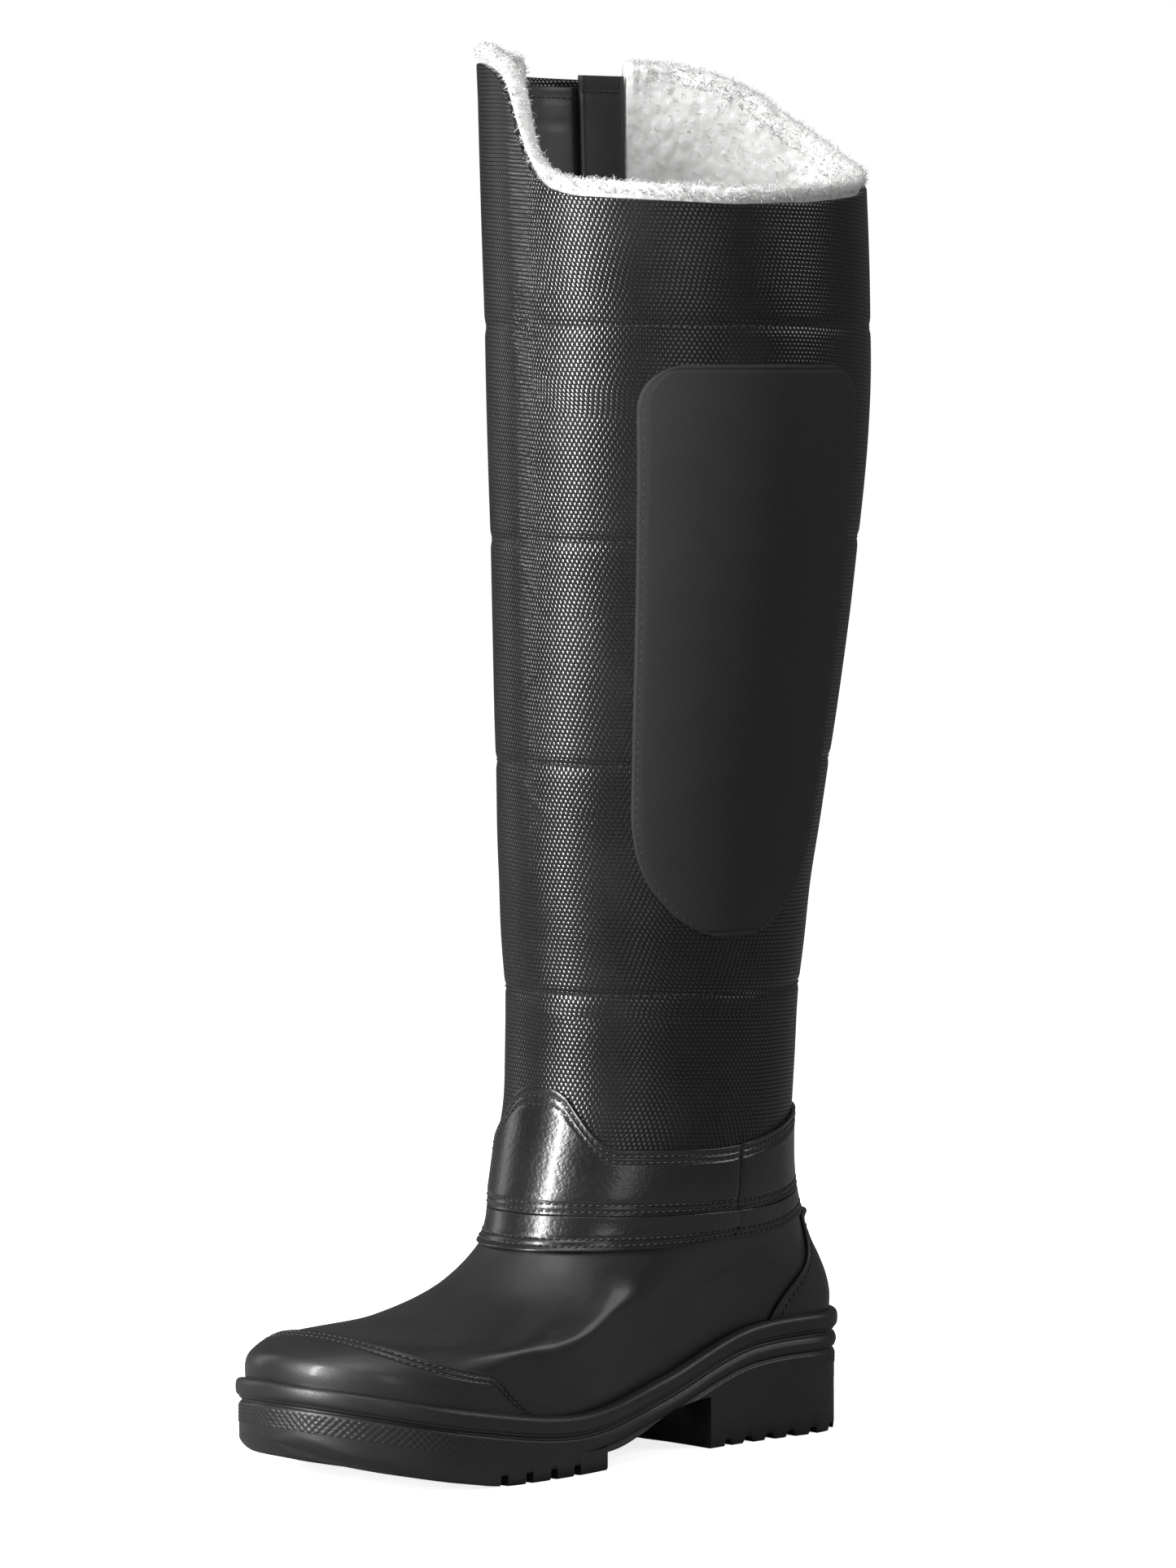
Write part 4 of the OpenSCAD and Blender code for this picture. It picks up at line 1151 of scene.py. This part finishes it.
def tufts(name, root, normal):
    """Loose curls: each a three-sided hair of five rings that bends over in a random direction
    and tapers to its tip."""
    count = len(root)
    rng = curl_seed
    lean = rng.normal(0, 1, (count, 3))
    side = np.cross(normal, lean)
    side /= np.linalg.norm(side, axis=1, keepdims=True)
    bend = np.cross(side, normal)
    length = rng.uniform(1.2, 3.2, count)[:, None, None]
    curl = rng.uniform(1.2, 2.9, count)[:, None]
    s = np.linspace(0, 1, 5)[None]
    rise, sway = np.sin(curl * s) / curl, (1 - np.cos(curl * s)) / curl
    spine = root[:, None] + length * (rise[..., None] * normal[:, None] + sway[..., None] * bend[:, None])
    girth = rng.uniform(0.14, 0.30, count)[:, None] * (1 - 0.75 * s)
    turn = np.arange(3) * 2 * math.pi / 3
    across = np.cross(bend, side)
    ring = (spine[:, :, None] + girth[:, :, None, None] * (
        np.cos(turn)[None, None, :, None] * side[:, None, None] + np.sin(turn)[None, None, :, None]
        * (across * 0.5 + bend * 0.87)[:, None, None]))
    k = np.arange(3)
    j = (k + 1) % 3
    step = (np.arange(4) * 3)[:, None]
    quads = np.stack([step + k, step + j, step + 3 + j, step + 3 + k], -1).reshape(-1, 4)
    faces = (quads[None] + (np.arange(count) * 15)[:, None, None]).reshape(-1, 4).tolist()
    faces += [[c * 15 + 2, c * 15 + 1, c * 15] for c in range(count)]
    faces += [[c * 15 + 12, c * 15 + 13, c * 15 + 14] for c in range(count)]
    mesh = bpy.data.meshes.new(name)
    mesh.from_pydata((ring.reshape(-1, 3) * 0.001).tolist(), [], faces)
    mesh.polygons.foreach_set("use_smooth", np.ones(len(mesh.polygons), dtype=bool))
    piece = bpy.data.objects.new(name, mesh)
    scene.collection.objects.link(piece)
    work = bmesh.new()
    work.from_mesh(mesh)
    bmesh.ops.recalc_face_normals(work, faces=work.faces)
    work.to_mesh(mesh)
    work.free()
    mesh.materials.append(white_fleece)
    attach(piece, "boot")
    return piece


def scattered(row_low, row_high, count, core):
    """Random places on the lining between two rows of its grid, with the directions away from a
    core line that runs round inside the pile, one point for each column of the grid."""
    grid = points[row_low:row_high]
    i = curl_seed.integers(1, grid.shape[0] - 1, count)
    j = curl_seed.integers(2, cols - 3, count)
    n = np.cross(grid[i, j + 1] - grid[i, j - 1], grid[i + 1, j] - grid[i - 1, j])
    n /= np.linalg.norm(n, axis=1, keepdims=True)
    root = grid[i, j] + curl_seed.uniform(-0.5, 0.5, (count, 3))
    n *= np.sign((n * (root - core[j])).sum(1, keepdims=True))
    return root - 0.3 * n, n


rim_core = points[14:30].mean(0)
tufts("fleece_tufts_rim", *scattered(13, 31, 6200, rim_core))
wall_core = rim_core * np.array([1.3, 1.3, 1.0]) - np.array([0, 4, 30.0])
tufts("fleece_tufts_wall", *scattered(28, 100, 2400, wall_core))

# Foot lining. The same fleece, close cut, round the inside of the foot.
u, v = np.meshgrid(np.linspace(0, 1, 90), np.linspace(0, 1, 220, endpoint=False), indexing="ij")
t, a = mix(0.4, 5.4, u), 360 * v
nap = 0.8 * curls(v * 520, u * 90, 4.0, 3.0) - 0.4
foot_fleece = shell_of("foot_lining_fleece", t, a, 3.1, 6.6 + nap, True)
foot_fleece.data.materials.append(white_fleece)
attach(foot_fleece, "boot")
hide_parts("foot_lining")

# Zip. Two woven tapes, each with a nylon coil along its edge, a cast slider with its pull, and
# crimped stops. The zip has its own frame: z up along it, x out of the boot, y towards the toe.
zip_up = zip_run / np.linalg.norm(zip_run)
zip_length = float(np.linalg.norm(zip_run))
zip_out = np.array([-0.96623, 0.25016, -0.06179])
zip_fore = np.array([-0.25218, -0.9673, 0.02722])
coil_middle, neck_half, coil_wide, coil_thick = -3.5, 0.8, 2.6, 2.4
slider_z, stop_z, pin_x = 352.0, 9.0, 1.6


def on_zip(local):
    """Points of the zip's frame, in millimetres, as points of the boot's."""
    return zip_foot + local[..., 0:1] * zip_out + local[..., 1:2] * zip_fore + local[..., 2:3] * zip_up


def loft(name, loops, closed=True):
    """A tube through equal loops of points; its two ends are closed by flat faces."""
    rows, cols = loops.shape[:2]
    faces = lattice(rows, cols, True).tolist()
    if closed:
        faces += [list(range(cols)), list(range((rows - 1) * cols, rows * cols))]
    mesh = bpy.data.meshes.new(name)
    mesh.from_pydata((loops.reshape(-1, 3) * 0.001).tolist(), [], faces)
    piece = bpy.data.objects.new(name, mesh)
    scene.collection.objects.link(piece)
    return turned_out(piece)


def turned_out(piece):
    """Points every face of a piece outwards and shades it smooth."""
    work = bmesh.new()
    work.from_mesh(piece.data)
    bmesh.ops.recalc_face_normals(work, faces=work.faces)
    for face in work.faces:
        face.smooth = True
    work.to_mesh(piece.data)
    work.free()
    return piece


def finish_piece(piece, material, body, slot, *nodes):
    piece.data.materials.append(material)
    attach(piece, body)
    if nodes:
        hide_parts(*nodes)
    return piece


def tape_cloth():
    """Black woven tape: fine ribs along the zip crossed by a herringbone, painted lighter on the raised
    weave and darker in its hollows as painted shade.
    """
    made, nodes, links, skin = fresh_material("zip_tape_weave")
    g = Graph(made.node_tree)
    x, y, z = g.split(nodes.new("ShaderNodeTexCoord").outputs["Object"])
    rib = g.maths("SINE", g.maths("MULTIPLY", g.maths("ADD", y, x), 7000.0))
    twill = g.maths("SINE", g.maths("MULTIPLY", g.maths("ADD", z, g.maths("MULTIPLY", g.maths(
        "PINGPONG", y, 0.0015), 1.2)), 6500.0))
    weave = g.maths("MULTIPLY", rib, twill)
    # Painted shade: the colour follows the weave height, dark in its hollows and light on its raised
    # threads.
    links.new(g.blend(g.ramp(weave, -1, 1), (0.006, 0.006, 0.0065, 1), (0.020, 0.020, 0.021, 1)),
              skin.inputs["Base Color"])
    links.new(g.ramp(weave, -1, 1, 0.85, 0.6), skin.inputs["Roughness"])
    links.new(g.bump(weave, 0.6, 0.00015), skin.inputs["Normal"])
    return made


def coil_plastic():
    """Nylon coil: satin black with brighter crests where the slider polishes it."""
    made, nodes, links, skin = fresh_material("zip_coil_nylon")
    g = Graph(made.node_tree)
    place = nodes.new("ShaderNodeTexCoord").outputs["Object"]
    rub = g.noise(place, 300.0, 3.0)
    links.new(g.blend(rub, (0.010, 0.010, 0.011, 1), (0.022, 0.022, 0.023, 1)), skin.inputs["Base Color"])
    links.new(g.ramp(rub, 0.3, 0.7, 0.28, 0.45), skin.inputs["Roughness"])
    links.new(g.bump(g.noise(place, 2500.0, 2.0), 0.15, 0.0001), skin.inputs["Normal"])
    return made


def cast_metal(name, light, dark):
    """Plated casting: soft orange peel, fine scratches and darker recesses."""
    made, nodes, links, skin = fresh_material(name)
    g = Graph(made.node_tree)
    place = nodes.new("ShaderNodeTexCoord").outputs["Object"]
    cloud = g.noise(place, 350.0, 5.0)
    x, y, z = g.split(place)
    scratch = g.noise(g.join(g.maths("MULTIPLY", x, 6.0), g.maths("MULTIPLY", y, 6.0), z), 900.0, 2.0)
    links.new(g.blend(g.ramp(cloud, 0.35, 0.7), light, dark), skin.inputs["Base Color"])
    links.new(g.ramp(scratch, 0.3, 0.75, 0.22, 0.42), skin.inputs["Roughness"])
    links.new(g.bump(g.maths("ADD", cloud, scratch), 0.12, 0.0001), skin.inputs["Normal"])
    skin.inputs["Metallic"].default_value = 1.0
    return made


tape_weave, coil_nylon = tape_cloth(), coil_plastic()
bright_metal = cast_metal("rolled_steel", (0.62, 0.62, 0.63, 1), (0.50, 0.50, 0.51, 1))
dark_metal = cast_metal("gunmetal", (0.16, 0.16, 0.165, 1), (0.10, 0.10, 0.105, 1))

for side, word in ((1, "front"), (-1, "rear")):
    across = np.array([3.45, 3.6, 3.9, 5.0, 7.0, 8.4, 8.8, 9.0, 8.8, 8.4, 7.0, 5.0, 3.9, 3.6])
    lift = np.array([-0.0, 0.32, 0.38, 0.28, 0.28, 0.36, 0.3, 0.0, -0.3, -0.36, -0.28, -0.28, -0.38, -0.32])
    z = np.linspace(0.2, zip_length - 1.2, 120)
    ripple = 0.03 * np.sin(z * 0.9)
    loops = np.stack([-3.9 + lift[None] + ripple[:, None], side * across[None] + 0 * z[:, None],
                      z[:, None] + 0 * across[None]], -1)
    finish_piece(loft("zip_tape_cloth_" + word, on_zip(loops)), tape_weave, "boot", "webbing",
                 "zip_tape_" + word)
    pitch, wire = 1.3, 0.42
    turns = (slider_z + 9.5 - stop_z - 4.0) / pitch
    phase = np.linspace(0, turns * 2 * math.pi, int(turns * 12))
    z = stop_z + 4.0 + phase / (2 * math.pi) * pitch
    coil_y, coil_reach = neck_half + coil_wide / 2 - 0.12, coil_wide / 2 - wire + 0.1
    spine = np.stack([coil_middle + (coil_thick / 2 - wire) * np.sin(phase),
                      side * (coil_y - coil_reach * np.cos(phase)), z], -1)
    lead = np.gradient(spine, axis=0)
    lead /= np.linalg.norm(lead, axis=1, keepdims=True)
    side_way = np.cross(lead, np.array([0, 0, 1.0]))
    side_way /= np.linalg.norm(side_way, axis=1, keepdims=True)
    over = np.cross(side_way, lead)
    five = np.arange(5) * 2 * math.pi / 5
    loops = spine[:, None] + wire * (np.cos(five)[None, :, None] * side_way[:, None]
                                     + np.sin(five)[None, :, None] * over[:, None])
    finish_piece(loft("zip_coil_" + word, on_zip(loops)), coil_nylon, "boot", "zip_plastic",
                 "zip_teeth_" + word)


def slab_of(outline, x0, x1):
    """Loops of a flat plate whose outline (y, z) is extruded through the zip from x0 to x1, with
    the rims drawn in a little so that the edge is rounded."""
    middle = outline.mean(0)
    loops = []
    for share, x in ((0.90, x0), (0.97, x0 + 0.06), (1.0, x0 + 0.24),
                     (1.0, x1 - 0.24), (0.97, x1 - 0.06), (0.90, x1)):
        flat = middle + (outline - middle) * share
        loops.append(np.stack([x + 0 * flat[:, 0], flat[:, 0], flat[:, 1]], -1))
    return on_zip(np.array(loops))


def rounded_box(y0, y1, z0, z1, power=5.0, count=40):
    """Outline of a rounded oblong: a circle whose cosine and sine are raised to a small power."""
    w = np.linspace(0, 2 * math.pi, count, endpoint=False)
    cy, cz = np.cos(w), np.sin(w)
    y = np.sign(cy) * np.abs(cy) ** (2 / power)
    z = np.sign(cz) * np.abs(cz) ** (2 / power)
    return np.stack([mix(y0, y1, (y + 1) / 2), mix(z0, z1, (z + 1) / 2)], -1)


def joined(name, parts):
    """One piece made of several closed lofts."""
    work = bmesh.new()
    for part in parts:
        work.from_mesh(part.data)
    mesh = bpy.data.meshes.new(name)
    work.to_mesh(mesh)
    work.free()
    for part in parts:
        bpy.data.objects.remove(part)
    piece = bpy.data.objects.new(name, mesh)
    scene.collection.objects.link(piece)
    return piece


def tube(radius, hole, y0, y1, middle_x, middle_z, count=36):
    """Loops of a short tube along y with a bore, as a section turned round its axis."""
    w = np.linspace(0, 2 * math.pi, count, endpoint=False)
    soft = min(0.25, (radius - hole) / 3)
    section = [(hole, y0), (radius - soft, y0), (radius, y0 + soft),
               (radius, y1 - soft), (radius - soft, y1), (hole, y1)]
    return on_zip(np.stack([np.stack([middle_x + r * np.cos(w), y + 0 * w, middle_z + r * np.sin(w)], -1)
                            for r, y in section]))


def ring_piece(name, loops):
    """A closed ring: a loft whose last loop joins its first."""
    rows, cols = loops.shape[:2]
    i, j = np.arange(rows)[:, None], np.arange(cols)[None, :]
    i2, j2 = (i + 1) % rows, (j + 1) % cols
    faces = np.stack([i * cols + j, i2 * cols + j, i2 * cols + j2, i * cols + j2], -1).reshape(-1, 4)
    return turned_out(put(name, loops.reshape(-1, 3), faces))


plate = rounded_box(-3.9, 3.9, slider_z - 7, slider_z + 7, 3.4)
plate[:, 0] *= 1 - 0.22 * ease((slider_z - plate[:, 1]) / 7)
parts = [loft("top", slab_of(plate, -2.0, -0.8)), loft("bottom", slab_of(plate, -6.2, -5.0)),
         loft("neck", slab_of(rounded_box(-0.5, 0.5, slider_z + 1, slider_z + 6, 3), -5.4, -1.6))]
for side in (-1, 1):
    lug = rounded_box(slider_z + 0.3, slider_z + 3.7, -1.4, pin_x + 1.2, 3)
    loops = np.stack([np.stack([lug[:, 1], y + 0 * lug[:, 0], lug[:, 0]], -1)
                      for y in (side * 2.2, side * 3.2)])
    parts.append(loft("lug", on_zip(loops)))
w = np.linspace(0, 2 * math.pi, 24, endpoint=False)
pin = np.stack([np.stack([pin_x + r * np.cos(w), y + 0 * w, slider_z + 2 + r * np.sin(w)], -1)
                for r, y in ((0.6, -3.45), (0.8, -3.25), (0.8, 3.25), (0.6, 3.45))])
parts.append(loft("pin", on_zip(pin)))
slider = soften(joined("zip_slider_casting", parts), 0.12)
finish_piece(slider, dark_metal, "slider", "zip_metal", "zip_slider")

pull_long = 21.0
w = np.linspace(0, 2 * math.pi, 64, endpoint=False)
leaf = rounded_box(-3.7, 3.7, slider_z + 2 - pull_long, slider_z + 2 - 4.2, 3.2, 64)
leaf[:, 0] *= 0.80 + 0.20 * ease((slider_z - 4 - leaf[:, 1]) / 8)
hole_y, hole_z = 1.8 * np.cos(w), slider_z + 2 - pull_long + 5 + 1.8 * np.sin(w)
middle = leaf.mean(0)
rim = []
for x, share in ((-0.8, 0.93), (-0.55, 1.0), (0.55, 1.0), (0.8, 0.93)):
    flat = middle + (leaf - middle) * share
    rim.append(np.stack([x + 0 * w, flat[:, 0], flat[:, 1]], -1))
for x in (0.8, 0.55, -0.55, -0.8):
    wide = 1.0 if abs(x) < 0.6 else 1.12
    rim.append(np.stack([x + 0 * w, hole_y * wide, hole_z.mean() + (hole_z - hole_z.mean()) * wide], -1))
rim = np.array(rim)
rim[..., 0] += pin_x
neck = rounded_box(-1.9, 1.9, slider_z - 2.7, slider_z + 0.6, 4)
neck = loft("neck", slab_of(neck, pin_x - 0.8, pin_x + 0.8))
pull = joined("zip_pull_leaf", [ring_piece("leaf", on_zip(rim)), neck,
                                ring_piece("barrel", tube(2.1, 1.1, -1.9, 1.9, pin_x, slider_z + 2))])
finish_piece(pull, dark_metal, "pull", "zip_metal", "zip_pull")

parts = [loft("stop", slab_of(side * rounded_box(0.8, 3.4, 0, 3, 3.5)
                              + np.array([0, slider_z + 10.3 if side > 0 else slider_z + 13.3]), -4.8, -2.2))
         for side in (-1, 1)]
finish_piece(joined("zip_top_stop_clips", parts), dark_metal, "boot", "zip_metal", "zip_top_stops")
clip = loft("zip_bottom_stop_clip", slab_of(rounded_box(-3.4, 3.4, stop_z, stop_z + 3.2, 4), -4.8, -2.2))
finish_piece(clip, dark_metal, "boot", "zip_metal", "zip_bottom_stop")

# Zip facings. A strip of leather on each side of the zip, stitched in two rows, and a smooth
# leather guard behind it that shows at the mouth of the boot.
facing_low, facing_wide = 118.0, 11.0
facing_top = float(top_z(np.array(253.0)))
for side, word in ((-1, "front"), (1, "rear")):
    u, v = np.meshgrid(np.linspace(0, 1, 260), np.linspace(0, 1, 30), indexing="ij")
    if side < 0:
        v = 1 - v
    z = mix(facing_low, facing_top - 0.5, u)
    groove = ditch(v * facing_wide - 1.6) + ditch(v * facing_wide - 9.4)
    leather_piece("zip_facing_leather_" + word, "zip_facing_" + word, slice_at(z),
                  angle_at(z, side * (zip_gap / 2 + v * facing_wide)), -layer_gap - leather_thick + groove,
                  -layer_gap + 0 * z, collar_leather)
    z = np.linspace(facing_low + 1, facing_top - 2, 400)
    for number, away in enumerate((1.6, 9.4)):
        seam("zip_facing_stitches_%s_%d" % (word, number + 1), slice_at(z),
             angle_at(z, side * (zip_gap / 2 + away)), leather_thick - 0.1)

smooth_leather = leather("guard_leather", 0.3, 0.5, 1.3)


def lining_leather(name, node, depth, rear, front, top, hems):
    """Smooth leather inside the shaft, between two lines beside the zip, with pressed hem lines
    at distances below its top edge."""
    u, v = np.meshgrid(np.linspace(0, 1, 220), np.linspace(0, 1, 50), indexing="ij")
    z = mix(94, top, u)
    groove = sum(ditch(top - z - away, 0.32, 0.4) for away in hems)
    groove = groove + ditch(np.minimum(v, 1 - v) * (rear - front) - 1.6, 0.2)
    piece = leather_piece(name, node, slice_at(z), angle_at(z, mix(rear, front, v)), depth + 0 * z,
                          depth + leather_thick - groove, smooth_leather)
    away = hems[0]
    w = np.linspace(rear - 1.5, front + 1.5, 120)
    z = np.full(120, top - away)
    t, a = slice_at(z), angle_at(z, w)
    stitches(name.replace("leather", "stitches"), inside(t, a, depth + leather_thick - 0.1 + 0 * z),
             -outward(t, a), 2.7, "boot", slot="leather_lining")


lining_leather("zip_guard_leather", "zip_guard", 7.2, 10.5, -9.5, facing_top + 1.0, (5.5, 14.0))
lining_leather("inner_facing_leather", "inner_facing", 4.9, -7.0, -41.0, facing_top - 3.0, (4.0, 12.5))

# Snap tab. A short leather strap across the head of the zip. Its root is sewn down behind the zip,
# it bends at that edge, and a pressed snap holds its free end.
tab_z, tab_high, tab_root, tab_tip, tab_out = 481.0, 24.0, 15.0, -20.0, 1.9
snap_w = -13.5


def tab_point(w, z, depth):
    """A point over the zip: w behind it, at a height, at a depth under the skin."""
    w, z = np.broadcast_arrays(np.asarray(w, float), np.asarray(z, float))
    return inside(slice_at(z), angle_at(z, w), depth + 0 * w)


snap_place = tab_point(snap_w, tab_z, 0.0)
snap_line = tab_point(snap_w, tab_z, -1.0) - snap_place
snap_line[2] = 0
snap_line /= np.linalg.norm(snap_line)
snap_side = np.array([-snap_line[1], snap_line[0], 0])
snap_up = np.array([0, 0, 1.0])


def tab_edge(w):
    """Half height of the strap: straight, then rounded off to its free end."""
    return tab_high / 2 * np.sqrt(np.maximum(0.02, 1 - np.clip((tab_tip + 9 - w) / 9.3, 0, 1) ** 2.2))


w = np.concatenate([np.linspace(25, 8, 26)[:-1], mix(8, tab_tip, np.sin(np.linspace(0, math.pi / 2, 60)))])
w, v = np.meshgrid(w, np.linspace(-1, 1, 40), indexing="ij")
z = tab_z + v * tab_edge(w)
sunk = mix(tab_out, 0.25, ease((w - 16.5) / 3.5))
edge_mm = np.minimum((1 - np.abs(v)) * tab_edge(w), w - tab_tip)
t, a = slice_at(z), angle_at(z, w)
strap = shell_of("snap_tab_leather", t, a, -sunk, -sunk - leather_thick + ditch(edge_mm - 2.0))
strap.data.flip_normals()
soften(strap, 0.4)
strap.data.materials.append(collar_leather)
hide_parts("snap_tab")
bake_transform(strap)

w = np.linspace(12, tab_tip + 2.2, 200)
rim_w = np.concatenate([w, w[::-1]])
rim_z = np.concatenate([tab_edge(w) - 2.0, -(tab_edge(w[::-1]) - 2.0)]) + tab_z
keep_w = tab_point(rim_w, rim_z, -tab_out - leather_thick + 0.1)
normal = outward(slice_at(rim_z), angle_at(rim_z, rim_w))
stitches("snap_tab_stitches", keep_w, normal, 2.7, "tab")
box_w = np.concatenate([np.full(60, 23.0), np.linspace(23, 20.5, 10)])
box_z = np.concatenate([np.linspace(-10, 10, 60), np.full(10, 10.0)]) + tab_z
stitches("snap_tab_root_stitches", tab_point(box_w, box_z, -0.25 - leather_thick + 0.1),
         outward(slice_at(box_z), angle_at(box_z, box_w)), 2.7, "boot")


def turned(name, section):
    """A round body about the snap's axis from its section (height, radius), poles closed."""
    w = np.linspace(0, 2 * math.pi, 48, endpoint=False)
    spoke = np.cos(w)[:, None] * snap_side + np.sin(w)[:, None] * snap_up
    loops = np.array([snap_place + h * snap_line + r * spoke for h, r in section])
    return loft(name, loops)


cap_foot = tab_out + leather_thick + 0.5
dome = [(cap_foot + h, r) for h, r in (
    (0.0, 5.6), (0.0, 5.9), (0.3, 6.0), (0.9, 5.95), (1.35, 5.6), (1.6, 5.0), (1.55, 4.55), (1.7, 4.25),
    (2.05, 3.9), (2.25, 3.0), (2.3, 1.6), (2.3, 0.3))]
finish_piece(turned("snap_cap_dome", dome), dark_metal, "tab", "zip_metal", "snap_cap")
stud_foot = layer_gap + leather_thick + 0.2
post = [(stud_foot + h, r) for h, r in (
    (0.0, 3.0), (0.1, 3.2), (0.4, 3.2), (0.5, 2.6), (0.7, 1.9),
    (1.1, 1.9), (1.5, 2.2), (1.8, 2.0), (1.9, 1.2), (1.9, 0.2))]
finish_piece(turned("snap_stud_post", post), dark_metal, "boot", "zip_metal", "snap_stud")

# Heel. A narrow strip covers the back seam of the shaft, and a firm ledge across the heel counter
# carries a spur.
u, v = np.meshgrid(np.linspace(0, 1, 300), np.linspace(0, 1, 26), indexing="ij")
z = mix(99, 440, u)
side_mm = np.minimum(v, 1 - v) * mix(18, 11, u) * 1.3
a = 180 + mix(9, 5.5, u) * (2 * v - 1)
leather_piece("back_strip_leather", "back_strip", slice_at(z), a,
              -2 * layer_gap - 2 * leather_thick - 0.1 + ditch(side_mm - 1.6, 0.3),
              -layer_gap - leather_thick - 0.2, collar_leather)
z = np.linspace(101, 438, 400)
for side in (-1, 1):
    away = mix(9, 5.5, (z - 99) / 341) - 1.9
    seam("back_strip_stitches_%d" % (1 if side < 0 else 2), slice_at(z), 180 + side * away,
         2 * leather_thick + 0.2)
u, v = np.meshgrid(np.linspace(0, 1, 24), np.linspace(0, 1, 120), indexing="ij")
bulge = 3.2 * np.sin(math.pi * u) ** 0.6 * ease(np.minimum(v, 1 - v) / 0.18)
ledge = shell_of("spur_ledge", mix(4.78, 5.12, u), 180 + 30 * (2 * v - 1),
                 -layer_gap - leather_thick - 0.15 - bulge,
                 -layer_gap - leather_thick)
finish_piece(soften(ledge, 0.2), rubber, "boot", "rubber", "spur_rest")


# Hidden boards. The insole board, puffs and shank stay as they are in the frame and get their own
# fibre, felt and steel finishes; the footbed shows at the bottom of the boot.
def pressed_board(name, light, dark, grain):
    """Pressed fibre: flecks and soft clouds in two tones, with a dry rough face."""
    made, nodes, links, skin = fresh_material(name)
    g = Graph(made.node_tree)
    place = nodes.new("ShaderNodeTexCoord").outputs["Object"]
    fleck = g.cells(place, grain)
    cloud = g.noise(place, grain * 0.2, 5.0)
    flecks = g.maths("MULTIPLY", g.ramp(fleck, 0.2, 0.8), cloud)
    links.new(g.blend(flecks, light, dark), skin.inputs["Base Color"])
    links.new(g.ramp(cloud, 0.3, 0.7, 0.75, 0.95), skin.inputs["Roughness"])
    links.new(g.bump(fleck, 0.4, 0.0003), skin.inputs["Normal"])
    return made


tan_board = pressed_board("tan_fibreboard", (0.42, 0.30, 0.17, 1), (0.28, 0.19, 0.10, 1), 900.0)
grey_felt = pressed_board("grey_felt", (0.19, 0.19, 0.195, 1), (0.10, 0.10, 0.105, 1), 1500.0)
for node, material in (("toe_puff", tan_board), ("heel_stiffener", tan_board), ("insole_board", tan_board),
                       ("footbed", grey_felt), ("shank", bright_metal)):
    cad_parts[node].data.materials.clear()
    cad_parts[node].data.materials.append(material)
